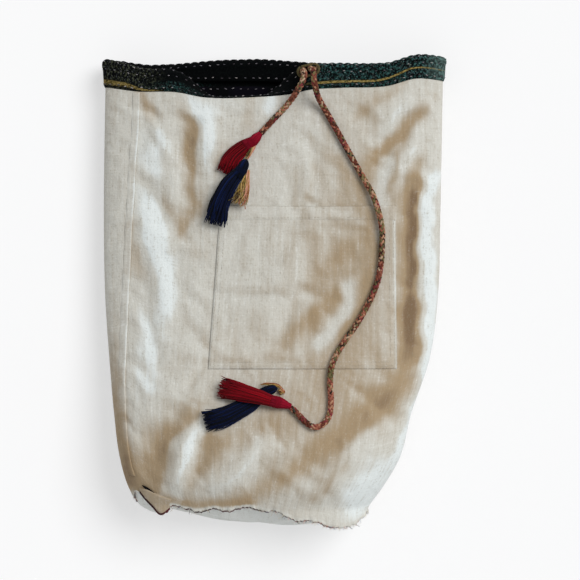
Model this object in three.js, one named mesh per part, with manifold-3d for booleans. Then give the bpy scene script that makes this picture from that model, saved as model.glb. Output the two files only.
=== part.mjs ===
// Drawstring backpack of linen canvas with a quilted lining, lying on its back.
// Millimetres, +Z up, mouth towards +Y, z = 0 is the surface under the bag.

import * as THREE from 'three';
import { mergeVertices } from 'three/addons/utils/BufferGeometryUtils.js';
import Module from 'manifold-3d';

const wasm = await Module();
wasm.setup();

// Cloth layers and the gap between touching layers
const canvasThickness = 1.2;
const liningThickness = 1.5;
const layerGap = 0.3;

// Body: the canvas from the base seam to the casing
const bodyLength = 402.5;
const seamY = -207.3;
const edgeY = seamY + bodyLength;
const baseLean = 10;
const sideFoldShare = 0.45;
const crownPower = 2.3;
const backPower = 4.5;

// Stations down the body: share of its length from the mouth, centre, half width, crown height
const bodyStations = [
  [0.0, 0, 162.5, 52],
  [0.3, -2, 162, 57],
  [0.5, -2.5, 160, 62],
  [0.65, -4.5, 153.5, 74],
  [0.78, -11, 142, 89],
  [0.88, -13.5, 134, 96],
  [0.95, -17.5, 122, 93],
  [1.0, -19.5, 109.5, 84],
];

// Canvas edge at the mouth: place across, and how far it lies past the nominal edge
const frontEdgePoints = [
  [-162, 0], [-130, -5], [-94, -6], [-66, -11.5], [-13, -11], [15, -8.5],
  [34, -4], [63, -2], [108, 0], [136, 7.5], [163.5, 6],
];
const backEdgePoints = [
  [-162, 0], [-20, 2], [60, 0], [120, 3], [163.5, 6],
];

// The middle of the front rim is rolled inwards: where the roll starts and is complete
const rollAngle = Math.PI / 2;
const rollLeftStart = -110;
const rollLeftFull = -54;
const rollRightFull = -14;
const rollRightEnd = 36;

// Casing round the mouth, and the braided cord in it
const casingWidth = 23;
const casingThickness = 1.2;
const casingInnerStart = 5;
const casingFlare = 10;
const hemInCasing = 8;
const cordDiameter = 6.5;
const cordClearance = 0.45;
const casingClearance = 0.6;
const innerLegClearance = 1.1;
const strapClearance = 0.3;

// Buttonhole that both cord ends leave by
const slotX = 33.5;
const slotLength = 19;
const slotHeight = 8.4;
const eyeletWidth = 1.5;
const eyeletThickness = 0.8;
const exitSpread = 3.7;

// Base, with its raw seam allowance turned outwards
const baseThickness = 1.5;
const baseLiningThickness = 1.5;
const baseBulge = 6;
const allowanceLength = 7.5;
const allowanceThickness = 2.4;

// Patch pocket on the front, with a folded hem along its mouth
const pocketTopWidth = 167;
const pocketBottomWidth = 179;
const pocketHeight = 155;
const pocketTopY = 80;
const pocketX = 32;
const pocketBottomX = 27;
const pocketThickness = 1.2;
const pocketSeat = 0.6;
const pocketSlack = 2.4;
const slackX = 10;
const slackY = pocketTopY - pocketHeight / 2;
const slackReach = 68;
const hemHeight = 14;
const hemThickness = 1;

// Felled seam down the left of the front
const seamX = -139;
const seamWidth = 6;
const seamThickness = 0.8;

// Shoulder straps under the back, each through a slide buckle
const strapWidth = 28;
const strapThickness = 1.8;
const strapTopX = 22;
const strapTopFromEdge = 19.2;
const strapTopY = edgeY - strapTopFromEdge;
const strapBottomSpread = 72;
const strapBottomX = -19;
const strapBottomY = -184;
const patchHeight = 5.8;
const anchorWidth = 96;
const anchorLength = 34;
const tabWidth = 44;
const tabLength = 30;
const buckleLength = 16;
const buckleFrame = 4;
const buckleBar = 1.5;
const buckleShare = 0.62;
const floorGap = 0.2;

// Fineness of the shells
const columns = 60;
const rows = 16;
const cordSides = 8;

// Values that follow from the sizes above
const layers = canvasThickness + layerGap + liningThickness;
const undersideZ = patchHeight + layerGap;
const tunnelRadius = cordDiameter / 2 + cordClearance;
const bulgeRadius = tunnelRadius + casingThickness;
const tunnelRise = casingWidth - bulgeRadius;
const tunnelDepth = -layers / 2;
const legInner = layers / 2 + casingClearance;
const innerLegDepth = tunnelDepth - layers / 2 - innerLegClearance;

// Routes of the two cord ends: x, y and height over the body's crown surface
const longRoute = [
  [37.3, 206.2, 20],
  [37.9, 198.2, 23.5],
  [39.6, 190.1, 19.7],
  [41.4, 184.4, 13.6],
  [44.2, 178.8, 8.8],
  [47.5, 173.1, 5.7],
  [51.5, 166.5, 4.3],
  [67.5, 137.8, 4.2],
  [86, 104.5, 4.4],
  [93.2, 92, 6.8],
  [99.8, 72.2, 7.8],
  [102.8, 57, 7.2],
  [102.6, 41.8, 6],
  [101.4, 23.8, 5.9],
  [98.6, 9, 5.9],
  [94.4, -2.4, 5.9],
  [87.4, -16.7, 5.9],
  [78.9, -31.5, 5.9],
  [67.9, -47, 5.9],
  [59.6, -60, 5.9],
  [54.4, -73, 5.9],
  [52.9, -87, 5],
  [53.7, -104.5, 4.4],
  [52, -117.8, 4.4],
  [46.3, -125.8, 4.4],
  [38.3, -128.6, 4.4],
  [29.6, -123.6, 4.4],
  [22, -115.6, 4.4],
  [16, -110.4, 4.4],
];
const shortRoute = [
  [28.9, 204.5, 18.4],
  [27, 197, 22],
  [22.6, 189.6, 18.2],
  [18.9, 184, 12],
  [14.5, 178.5, 7.2],
  [9.9, 173, 4.7],
  [0.6, 163.4, 4.2],
  [-7.9, 154.2, 4.2],
  [-12.6, 149.2, 4.2],
];

// Main folds of the front: half breadth, then places x, y along the fold with the rise at each
const folds = [
  [10, [-74, -124, 0], [-80, -137, 3.4], [-86, -152, 5], [-90, -172, 4.4], [-93, -194, 0]],
  [16, [-84, -106, 0], [-92, -118, -3.4], [-112, -140, -5.4], [-116, -165, -4.6], [-114, -190, 0]],
  [9, [-58, -134, 0], [-66, -148, -3.6], [-75, -171, -4], [-84, -192, 0]],
  [11, [2, -136, 0], [-14, -148, 2.6], [-37, -171, 3.4], [-56, -190, 2], [-62, -198, 0]],
  [10, [16, -150, 0], [-4, -172, -2.6], [-22, -194, -1]],
  [15, [112, -92, 0], [102, -112, -3.2], [62, -136, -3.8], [31, -160, -3], [18, -180, 0]],
  [12, [122, -106, 0], [96, -126, 2.4], [74, -148, 3], [54, -178, 1.8], [48, -192, 0]],
  [9, [134, 112, 0], [129, 70, -2.6], [128, 0, -2.8], [124, -50, -2.4], [118, -88, 0]],
  [10, [152, 184, 0], [138, 170, -3], [118, 148, -3.4], [99, 129, -2.6], [94, 110, 0]],
  [9, [158, 160, 0], [138, 146, 2.4], [122, 124, 2.6], [111, 98, 1.4], [108, 86, 0]],
  [10, [-68, 184, 0], [-67, 168, 2], [-64, 142, 2.4], [-62, 120, 0]],
  [11, [-94, 176, 0], [-86, 150, -2.6], [-82, 110, -3], [-81, 70, -2.4], [-80, 40, 0]],
  [11, [-136, 118, 0], [-118, 92, -2.6], [-100, 64, -2.4], [-92, 44, 0]],
  [12, [-130, 84, 0], [-118, 48, 2], [-108, 4, 2.2], [-104, -40, 0]],
];

// Tassels and frayed tips: x, y, height over the body, half width, half height, head end first
const longRedTassel = [
  [13.6, -108.6, 4.8, 3.2, 3.2], [6, -106, 7, 5.4, 4.6], [-3, -103.6, 10.6, 5.5, 3.8],
  [-14, -100, 13.4, 7.2, 3.6], [-32, -95.5, 13, 8.8, 3.8], [-51.5, -91.5, 7, 9.6, 4.2],
];
const longNavyTassel = [
  [3, -91.8, 4.6, 3.4, 3.6], [-3, -93.8, 4.6, 4.6, 4.2], [-9, -96.4, 4.5, 4.8, 3.7],
  [-22, -103, 4.4, 7, 3.4], [-44, -114.5, 4.4, 8.6, 3.4], [-66, -123.6, 5, 9.8, 4.2],
];
const longTip = [[5.6, -93, 4.2, 2.2, 2.4], [7.6, -95.4, 3.8, 2.6, 2.4], [8.4, -98.4, 3, 2.2, 2]];
const shortRedTassel = [
  [-13.4, 148.4, 4.3, 3.2, 3.4], [-16.6, 144.9, 4.6, 4.6, 4.2], [-20, 141.3, 4.6, 4.9, 3.8],
  [-29, 134, 4.4, 7.4, 3.4], [-41, 122.5, 4.2, 9, 3.4], [-49.5, 110, 4.2, 9.4, 3.6],
];
const shortNavyTassel = [
  [-26, 123.6, 12.1, 3.6, 3.4], [-28.4, 118.6, 12.4, 5, 4.2], [-31.2, 113.2, 11.9, 5.3, 3.8],
  [-36.5, 101, 11.8, 7.6, 3.6], [-47, 82, 9.2, 9.4, 3.8], [-55.8, 62.5, 7.4, 10.4, 4.2],
];
const shortTip = [[-20.6, 117.6, 8.8, 2.2, 2.2], [-25.4, 104, 7, 2.6, 2.4], [-33, 82, 6.6, 5, 2.6]];
const tasselSides = 12;
const tasselSteps = 5;
const headSteps = 3;
const headLength = 17;

const colours = {
  canvas: '#d2ccc0', lining: '#14181a', casing: '#26302b', cord: '#7d4a34', red: '#8e1626', navy: '#161a36',
  tip: '#a8895a', thread: '#b8ad98', strap: '#b9ae99', patch: '#6f4a2f', metal: '#8c8578',
};

// Numbers between the rows of a table, by its first column
function interpolated(table) {
  const keys = table.map((row) => row[0]);
  const values = table.flatMap((row) => row.slice(1));
  const curve = new THREE.CubicInterpolant(keys, values, table[0].length - 1);
  return (key) => Array.from(curve.evaluate(key));
}

const stationAtShare = interpolated(bodyStations);
const frontEdge = interpolated(frontEdgePoints);
const backEdge = interpolated(backEdgePoints);

function stationAt(y) {
  const [centre, halfWidth, crown] = stationAtShare((edgeY - y) / bodyLength);
  return { centre, halfWidth, crown, side: undersideZ + sideFoldShare * (crown - undersideZ) };
}

// Outline of the canvas across the body: crowned on top, almost flat under it
const outlineSteps = 120;
const outlines = new Map();

function sectionOutline(y) {
  if (outlines.has(y)) return outlines.get(y);
  const { centre, halfWidth, crown, side } = stationAt(y);
  const points = [];
  for (let step = 0; step <= outlineSteps; step += 1) {
    const angle = (2 * Math.PI * step) / outlineSteps;
    const power = 2 / (angle <= Math.PI ? crownPower : backPower);
    const across = Math.sign(Math.cos(angle)) * Math.abs(Math.cos(angle)) ** power;
    const height = Math.sign(Math.sin(angle)) * Math.abs(Math.sin(angle)) ** power;
    const reach = height > 0 ? crown - side : side - undersideZ;
    points.push(new THREE.Vector3(centre + halfWidth * across, y, side + reach * height));
  }
  const lengths = [0];
  for (let step = 1; step <= outlineSteps; step += 1) {
    lengths.push(lengths[step - 1] + points[step].distanceTo(points[step - 1]));
  }
  const outline = { points, lengths, side };
  outlines.set(y, outline);
  return outline;
}

// Point of the canvas' outer face: turn 0 is the right side fold, 0.5 the left one, by way of the front
function wallPoint(turn, y) {
  const { points, lengths } = sectionOutline(y);
  const goal = (((turn % 1) + 1) % 1) * lengths[outlineSteps];
  let step = 1;
  while (step < outlineSteps && lengths[step] < goal) step += 1;
  const share = (goal - lengths[step - 1]) / (lengths[step] - lengths[step - 1]);
  return points[step - 1].clone().lerp(points[step], share);
}

const probe = 2;
const probeTurn = 0.004;

function wallFrame(turn, y) {
  const point = wallPoint(turn, y);
  const toMouth = wallPoint(turn, y + probe).sub(wallPoint(turn, y - probe)).normalize();
  const around = wallPoint(turn + probeTurn, y).sub(wallPoint(turn - probeTurn, y)).normalize();
  const outward = new THREE.Vector3().crossVectors(toMouth, around).normalize();
  return { point, toMouth, around, outward };
}

// Height of the front's outer face over a place
function frontHeight(x, y) {
  const { centre, halfWidth, crown, side } = stationAt(Math.min(y, edgeY));
  const across = Math.min(1, Math.abs((x - centre) / halfWidth));
  return side + (crown - side) * (1 - across ** crownPower) ** (1 / crownPower);
}

function frontFrame(x, y) {
  const point = new THREE.Vector3(x, y, frontHeight(x, y));
  const slopeX = (frontHeight(x + probe, y) - frontHeight(x - probe, y)) / (2 * probe);
  const slopeY = (frontHeight(x, y + probe) - frontHeight(x, y - probe)) / (2 * probe);
  return { point, outward: new THREE.Vector3(-slopeX, -slopeY, 1).normalize() };
}

// Rise of the folds over the crown at a place of the front, none at the rim, base seam and side folds
function foldRise(x, y) {
  const { centre, halfWidth } = stationAt(y);
  const { smoothstep, lerp } = THREE.MathUtils;
  const down = (edgeY - y) / bodyLength;
  const across = Math.abs((x - centre) / halfWidth);
  const atEnds = smoothstep(down, 0.03, 0.08) * (1 - smoothstep(down, 0.93, 0.985));
  const onPlan = ([placeX, placeY]) => new THREE.Vector3(placeX, placeY, 0);
  const place = onPlan([x, y]);
  let rise = 0;
  for (const [breadth, ...places] of folds) {
    let [distance, height] = [Infinity, 0];
    for (let step = 1; step < places.length; step += 1) {
      const [start, end] = [places[step - 1], places[step]];
      const part = new THREE.Line3(onPlan(start), onPlan(end));
      const share = part.closestPointToPointParameter(place, true);
      const reach = part.at(share, new THREE.Vector3()).distanceTo(place);
      if (reach < distance) [distance, height] = [reach, lerp(start[2], end[2], share)];
    }
    rise += height * Math.exp(-((distance / breadth) ** 2));
  }
  return rise * atEnds * (1 - smoothstep(across, 0.78, 0.96));
}

// Point of the cloth at a depth under the wall's outer face, with the front's folds
function clothPoint(turn, y, depth) {
  const { point, outward } = wallFrame(turn, y);
  const rise = point.z > sectionOutline(y).side ? foldRise(point.x, y) : 0;
  return along(point, [outward, rise - depth]);
}

// Place of the rim at a turn: the canvas edge, its frame, and how far the rim is rolled inwards
function rimFrame(turn) {
  const nominal = wallPoint(turn, edgeY);
  const isFront = nominal.z > sectionOutline(edgeY).side;
  const [past] = isFront ? frontEdge(nominal.x) : backEdge(nominal.x);
  const frame = wallFrame(turn, edgeY + past);
  const rollIn = THREE.MathUtils.smoothstep(nominal.x, rollLeftStart, rollLeftFull);
  const rollOut = THREE.MathUtils.smoothstep(nominal.x, rollRightFull, rollRightEnd);
  const roll = isFront ? rollAngle * (rollIn - rollOut) : 0;
  const up = frame.toMouth.clone().multiplyScalar(Math.cos(roll))
    .addScaledVector(frame.outward, -Math.sin(roll));
  const out = frame.toMouth.clone().multiplyScalar(Math.sin(roll))
    .addScaledVector(frame.outward, Math.cos(roll));
  return { ...frame, roll, up, out, y: edgeY + past, isFront };
}

// The first column of the shells passes through the buttonhole
function frontTurnAt(x, y) {
  let [right, left] = [0, 0.5];
  while (left - right > 1e-6) {
    const middle = (left + right) / 2;
    if (wallPoint(middle, y).x > x) right = middle;
    else left = middle;
  }
  return right;
}

const slotTurn = frontTurnAt(slotX, edgeY);
const turns = Array.from({ length: columns }, (_, column) => slotTurn + column / columns);
const rims = turns.map(rimFrame);

function seamYAt(turn) {
  const point = wallPoint(turn, seamY);
  const { crown } = stationAt(seamY);
  return seamY - baseLean * (1 - (point.z - undersideZ) / (crown - undersideZ));
}

const seams = turns.map(seamYAt);

function along(origin, ...parts) {
  const point = origin.clone();
  for (const [direction, length] of parts) point.addScaledVector(direction, length);
  return point;
}

// A closed body from its points and triangles, turned so that its faces point out
function solid(points, triangles) {
  let volume = 0;
  for (const [a, b, c] of triangles) {
    volume += points[a].dot(new THREE.Vector3().crossVectors(points[b], points[c]));
  }
  const faces = volume < 0 ? triangles.map(([a, b, c]) => [a, c, b]) : triangles;
  const geometry = new THREE.BufferGeometry().setFromPoints(points);
  geometry.setIndex(faces.flat());
  geometry.computeVertexNormals();
  return geometry;
}

// Joins rings of equal length: closed end to end, or capped at both ends by a middle point.
// Past the ring that turns back, the quads are split the other way, so that nested layers match.
function skin(rings, isLoop, turnsBackAt = rings.length) {
  const size = rings[0].length;
  const points = rings.flat();
  const triangles = [];
  const joins = isLoop ? rings.length : rings.length - 1;
  for (let ring = 0; ring < joins; ring += 1) {
    const here = ring * size;
    const next = ((ring + 1) % rings.length) * size;
    for (let side = 0; side < size; side += 1) {
      const beside = (side + 1) % size;
      const [first, second] = ring < turnsBackAt ? [side, beside] : [beside, side];
      triangles.push([here + side, here + beside, next + second], [here + first, next + beside, next + side]);
    }
  }
  if (!isLoop) {
    for (const [ring, isFirst] of [[rings[0], true], [rings[rings.length - 1], false]]) {
      const start = isFirst ? 0 : (rings.length - 1) * size;
      const middle = ring.reduce((sum, point) => sum.add(point), new THREE.Vector3()).divideScalar(size);
      points.push(middle);
      for (let side = 0; side < size; side += 1) {
        const pair = [start + side, start + ((side + 1) % size)];
        triangles.push(isFirst ? [pair[1], pair[0], points.length - 1] : [...pair, points.length - 1]);
      }
    }
  }
  return solid(points, triangles);
}

// A layer of the wall between two depths, from inside the casing down to just short of the base
function wallLayer(outerDepth, innerDepth, endGap) {
  const face = (depth) => {
    const rings = [];
    rings.push(rims.map((rim) => along(rim.point, [rim.up, hemInCasing], [rim.out, -depth])));
    rings.push(rims.map((rim) => {
      const bisector = rim.outward.clone().add(rim.out).normalize();
      return along(rim.point, [bisector, -depth / Math.cos(rim.roll / 2)]);
    }));
    for (let row = 1; row <= rows; row += 1) {
      rings.push(turns.map((turn, column) => {
        const y = row < rows
          ? THREE.MathUtils.lerp(rims[column].y, seams[column], row / rows)
          : seams[column] + endGap;
        return clothPoint(turn, y, depth);
      }));
    }
    return rings;
  };
  return skin([...face(outerDepth), ...face(innerDepth).reverse()], true, rows + 2);
}

function canvasWall() {
  return wallLayer(0, canvasThickness, 0);
}

function liningWall() {
  return wallLayer(canvasThickness + layerGap, layers, layerGap + baseThickness + layerGap);
}

// A round panel inside the wall's end, bulging outwards, between two distances from the seam
function endPanel(depth, nearGap, thickness) {
  const rim = (gap) => turns.map((turn, column) => {
    const frame = wallFrame(turn, seams[column] + gap);
    return along(frame.point, [frame.outward, -depth]);
  });
  const face = (gap) => {
    const edge = rim(gap);
    const middle = edge.reduce((sum, point) => sum.add(point), new THREE.Vector3()).divideScalar(columns);
    return [1, 0.7, 0.35].map((share) => edge.map((point) => {
      const ringPoint = middle.clone().lerp(point, share);
      ringPoint.y -= baseBulge * (1 - share ** 2);
      return ringPoint;
    }));
  };
  return skin([...face(nearGap).reverse(), ...face(nearGap + thickness)], false);
}

function basePanel() {
  return endPanel(canvasThickness + layerGap, layerGap, baseThickness);
}

function baseLining() {
  return endPanel(layers + layerGap, layerGap + baseThickness + layerGap, baseLiningThickness);
}

// The raw allowance stands on past the seam, in line with the wall
function seamAllowance() {
  const corners = [[0, 0], [0, 1], [1, 1], [1, 0]];
  const rings = corners.map(([reach, inner]) => turns.map((turn, column) => {
    const frame = wallFrame(turn, seams[column]);
    const length = -layerGap - reach * allowanceLength;
    return along(frame.point, [frame.toMouth, length], [frame.outward, -inner * allowanceThickness]);
  }));
  return skin(rings, true);
}

// Section of the casing: two legs over the cloth's edge and a round tunnel for the cord at the fold
function casingSection() {
  const arcStart = THREE.MathUtils.degToRad(-35);
  const arcEnd = Math.PI - arcStart;
  const arc = (radius, steps) => Array.from({ length: steps + 1 }, (_, step) => {
    const angle = THREE.MathUtils.lerp(arcStart, arcEnd, step / steps);
    return [tunnelRise + radius * Math.sin(angle), tunnelDepth + radius * Math.cos(angle)];
  });
  return [
    [0, tunnelDepth + legInner + casingThickness],
    [casingFlare, tunnelDepth + legInner + casingThickness],
    ...arc(bulgeRadius, 7),
    [casingFlare, innerLegDepth - casingThickness],
    [casingInnerStart, innerLegDepth - casingThickness],
    [casingInnerStart, innerLegDepth],
    [casingFlare, innerLegDepth],
    ...arc(tunnelRadius, 9).reverse(),
    [casingFlare, tunnelDepth + legInner],
    [0, tunnelDepth + legInner],
  ];
}

// Buttonhole
const slotRim = rims[0];
const tunnelPoint = (rim) => along(rim.point, [rim.up, tunnelRise], [rim.out, tunnelDepth]);
const slotCentre = tunnelPoint(slotRim);
const slotAcross = tunnelPoint(rims[columns - 1]).sub(tunnelPoint(rims[1])).normalize();
const slotOut = slotRim.out.clone().addScaledVector(slotAcross, -slotRim.out.dot(slotAcross)).normalize();
const slotUp = new THREE.Vector3().crossVectors(slotOut, slotAcross);

function stadium(length, height) {
  const half = (length - height) / 2;
  const outline = new THREE.Shape();
  outline.absarc(half, 0, height / 2, -Math.PI / 2, Math.PI / 2);
  outline.absarc(-half, 0, height / 2, Math.PI / 2, (3 * Math.PI) / 2);
  return outline;
}

// Extrudes an outline of the slot's plane outwards between two depths at the slot
function atSlot(outline, from, depth) {
  const geometry = new THREE.ExtrudeGeometry(outline, { depth, bevelEnabled: false, curveSegments: 6 });
  const origin = along(slotCentre, [slotOut, from]);
  geometry.applyMatrix4(new THREE.Matrix4().makeBasis(slotAcross, slotUp, slotOut).setPosition(origin));
  return geometry;
}

// A manifold of a closed mesh, and the mesh of a manifold
function toManifold(geometry) {
  const bare = geometry.clone();
  bare.deleteAttribute('normal');
  bare.deleteAttribute('uv');
  const merged = mergeVertices(bare, 1e-4);
  const vertProperties = new Float32Array(merged.attributes.position.array);
  const triVerts = new Uint32Array(merged.index.array);
  return new wasm.Manifold(new wasm.Mesh({ numProp: 3, vertProperties, triVerts }));
}

function toGeometry(manifold) {
  const mesh = manifold.getMesh();
  const geometry = new THREE.BufferGeometry();
  geometry.setAttribute('position', new THREE.BufferAttribute(mesh.vertProperties, 3));
  geometry.setIndex(new THREE.BufferAttribute(mesh.triVerts, 1));
  geometry.computeVertexNormals();
  return geometry;
}

function rimCasing() {
  const rings = casingSection().map(([rise, depth]) => (
    rims.map((rim) => along(rim.point, [rim.up, rise], [rim.out, depth]))
  ));
  const cutter = atSlot(stadium(slotLength, slotHeight), 0, bulgeRadius * 2);
  return toGeometry(toManifold(skin(rings, true)).subtract(toManifold(cutter)));
}

const eyeletBase = bulgeRadius + layerGap;
const exitHeight = eyeletBase + eyeletThickness + layerGap;

function buttonhole() {
  const outline = stadium(slotLength + 2 * eyeletWidth, slotHeight + 2 * eyeletWidth);
  outline.holes.push(stadium(slotLength, slotHeight));
  return atSlot(outline, eyeletBase, eyeletThickness);
}

// The cord's run inside the casing, bent out through the buttonhole at both ends
function casingCordRun() {
  const ring = (centre, first, second) => Array.from({ length: cordSides }, (_, side) => {
    const angle = (2 * Math.PI * side) / cordSides;
    const radius = cordDiameter / 2;
    return along(centre, [first, radius * Math.cos(angle)], [second, radius * Math.sin(angle)]);
  });
  const exit = (direction) => {
    const neighbour = rims[(direction + columns) % columns];
    const chord = tunnelPoint(neighbour).sub(slotCentre);
    const across = chord.clone().normalize();
    return [0, 1, 2, 3].map((step) => {
      const angle = (Math.PI / 2) * (step / 3);
      const bend = exitHeight;
      const sideways = exitSpread + bend * (1 - Math.cos(angle));
      const height = bend * (1 - Math.sin(angle));
      const share = sideways / chord.length();
      const up = slotRim.up.clone().lerp(neighbour.up, share).normalize();
      const out = slotRim.out.clone().lerp(neighbour.out, share).normalize();
      const centre = along(slotCentre, [across, sideways], [out, height]);
      const inBend = along(new THREE.Vector3(), [across, Math.cos(angle)], [out, Math.sin(angle)]);
      return ring(centre, up, inBend.multiplyScalar(-direction));
    });
  };
  const rings = [...exit(1)];
  for (let step = 1; step < columns; step += 1) {
    const rim = rims[step];
    rings.push(ring(tunnelPoint(rim), rim.up, rim.out));
  }
  rings.push(...exit(-1).reverse());
  return skin(rings, false);
}

// A free cord end, from its exit at one side of the buttonhole along its route over the front
function freeCord(side, route) {
  const start = along(slotCentre, [slotAcross, side * exitSpread], [slotOut, exitHeight + layerGap]);
  const points = [start, along(start, [slotOut, cordDiameter])];
  for (const [x, y, height] of route) points.push(new THREE.Vector3(x, y, frontHeight(x, y) + height));
  const path = new THREE.CatmullRomCurve3(points, false, 'centripetal');
  const section = new THREE.Shape();
  section.absarc(0, 0, cordDiameter / 2, 0, 2 * Math.PI);
  const steps = Math.min(80, Math.ceil(path.getLength() / (2 * cordDiameter)) * 2);
  return new THREE.ExtrudeGeometry(section, { steps, extrudePath: path, curveSegments: cordSides / 2 });
}

// A flattened bundle of threads along a line of places on the front, between two lengths along it
function bundle(places, steps, from = 0, to = Infinity) {
  const line = new THREE.CatmullRomCurve3(places.map(([x, y, height]) => (
    new THREE.Vector3(x, y, frontHeight(x, y) + height)
  )));
  const halves = interpolated(places.map((place, index) => [index / (places.length - 1), place[3], place[4]]));
  const length = line.getLength();
  const rings = [];
  for (let step = 0; step <= steps; step += 1) {
    const share = THREE.MathUtils.lerp(from, Math.min(to, length), step / steps) / length;
    const centre = line.getPointAt(share);
    const tangent = line.getTangentAt(share);
    const level = new THREE.Vector3(-tangent.y, tangent.x, 0).normalize();
    const above = new THREE.Vector3().crossVectors(tangent, level);
    const [width, height] = halves(line.getUtoTmapping(share));
    rings.push(Array.from({ length: tasselSides }, (_, side) => {
      const angle = (2 * Math.PI * side) / tasselSides;
      return along(centre, [level, width * Math.cos(angle)], [above, height * Math.sin(angle)]);
    }));
  }
  return skin(rings, false);
}

// How far the pocket's slack lifts it off the front at a place
function pocketRise(x, y) {
  const reach = Math.min(1, Math.hypot(x - slackX, y - slackY) / slackReach);
  return pocketSlack * (1 - reach ** 2) ** 2;
}

// A patch that follows the front and the pocket's slack between two offsets, from its four corners
const patchSteps = 9;

function frontPatch([topLeft, topRight, bottomRight, bottomLeft], from, to) {
  const face = (offset) => {
    const grid = [];
    for (let row = 0; row <= patchSteps; row += 1) {
      for (let column = 0; column <= patchSteps; column += 1) {
        const left = new THREE.Vector2().lerpVectors(topLeft, bottomLeft, row / patchSteps);
        const right = new THREE.Vector2().lerpVectors(topRight, bottomRight, row / patchSteps);
        const place = left.lerp(right, column / patchSteps);
        const frame = frontFrame(place.x, place.y);
        grid.push(along(frame.point, [frame.outward, offset + pocketRise(place.x, place.y)]));
      }
    }
    return grid;
  };
  const size = patchSteps + 1;
  const points = [...face(from), ...face(to)];
  const upper = size * size;
  const triangles = [];
  const quad = (a, b, c, d) => triangles.push([a, b, c], [a, c, d]);
  for (let row = 0; row < patchSteps; row += 1) {
    for (let column = 0; column < patchSteps; column += 1) {
      const corner = row * size + column;
      quad(corner, corner + 1, corner + size + 1, corner + size);
      quad(upper + corner, upper + corner + size, upper + corner + size + 1, upper + corner + 1);
    }
  }
  for (let step = 0; step < patchSteps; step += 1) {
    const last = patchSteps * size;
    quad(step, upper + step, upper + step + 1, step + 1);
    quad(last + step + 1, upper + last + step + 1, upper + last + step, last + step);
    quad((step + 1) * size, upper + (step + 1) * size, upper + step * size, step * size);
    const right = step * size + patchSteps;
    quad(right, upper + right, upper + right + size, right + size);
  }
  return solid(points, triangles);
}

const pocketCorner = (share, side) => {
  const x = THREE.MathUtils.lerp(pocketX, pocketBottomX, share);
  const width = THREE.MathUtils.lerp(pocketTopWidth, pocketBottomWidth, share);
  return new THREE.Vector2(x + (side * width) / 2, pocketTopY - share * pocketHeight);
};

function pocketPatch(endShare, from, thickness) {
  const corners = [[0, -1], [0, 1], [endShare, 1], [endShare, -1]];
  return frontPatch(corners.map(([share, side]) => pocketCorner(share, side)), from, from + thickness);
}

function pocketPanel() {
  return pocketPatch(1, pocketSeat, pocketThickness);
}

function pocketHem() {
  return pocketPatch(hemHeight / pocketHeight, pocketSeat + pocketThickness + layerGap, hemThickness);
}

// The felled seam lies over one column of the wall and leans to both sides of it
function sideSeam() {
  const middleY = (edgeY + seamY) / 2;
  const distance = (column) => Math.abs(wallPoint(turns[column], middleY).x - seamX);
  const columnsInFront = turns.map((_, column) => column).filter((column) => rims[column].isFront);
  const column = columnsInFront.reduce((best, other) => (distance(other) < distance(best) ? other : best));
  const strip = [];
  for (let row = 1; row < rows; row += 1) {
    const at = (beside) => {
      const y = THREE.MathUtils.lerp(rims[column + beside].y, seams[column + beside], row / rows);
      return clothPoint(turns[column + beside], y, 0);
    };
    const middle = at(0);
    const y = THREE.MathUtils.lerp(rims[column].y, seams[column], row / rows);
    const { outward } = wallFrame(turns[column], y);
    const places = [-1, 0, 1].map((beside) => {
      const way = beside === 0 ? new THREE.Vector3() : at(beside).sub(middle).normalize();
      return along(middle, [way, seamWidth / 2]);
    });
    const low = places.map((place) => along(place, [outward, layerGap]));
    const high = places.map((place) => along(place, [outward, layerGap + seamThickness])).reverse();
    strip.push([...low, ...high]);
  }
  return skin(strip, false);
}

// A flat piece with a slot right through it along Y, for the straps
function slottedBlock(width, length, height, slots, slotFrom, slotTo) {
  const face = new THREE.Shape();
  face.moveTo(-width / 2, 0);
  face.lineTo(width / 2, 0);
  face.lineTo(width / 2, height);
  face.lineTo(-width / 2, height);
  for (const slot of slots) {
    const hole = new THREE.Path();
    hole.moveTo(slot - strapWidth / 2 - strapClearance, slotFrom);
    hole.lineTo(slot - strapWidth / 2 - strapClearance, slotTo);
    hole.lineTo(slot + strapWidth / 2 + strapClearance, slotTo);
    hole.lineTo(slot + strapWidth / 2 + strapClearance, slotFrom);
    face.holes.push(hole);
  }
  const geometry = new THREE.ExtrudeGeometry(face, { depth: length, bevelEnabled: false });
  geometry.translate(0, 0, -length / 2);
  geometry.rotateX(Math.PI / 2);
  return geometry;
}

const strapLow = floorGap + buckleBar + layerGap;
const strapHigh = strapLow + strapThickness;
const group = new THREE.Group();

function add(name, geometry, colour, roughness = 0.9, metalness = 0, parent = group) {
  const material = new THREE.MeshStandardMaterial({ color: colour, roughness, metalness });
  const mesh = new THREE.Mesh(geometry, material);
  mesh.name = name;
  parent.add(mesh);
  return mesh;
}

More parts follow.
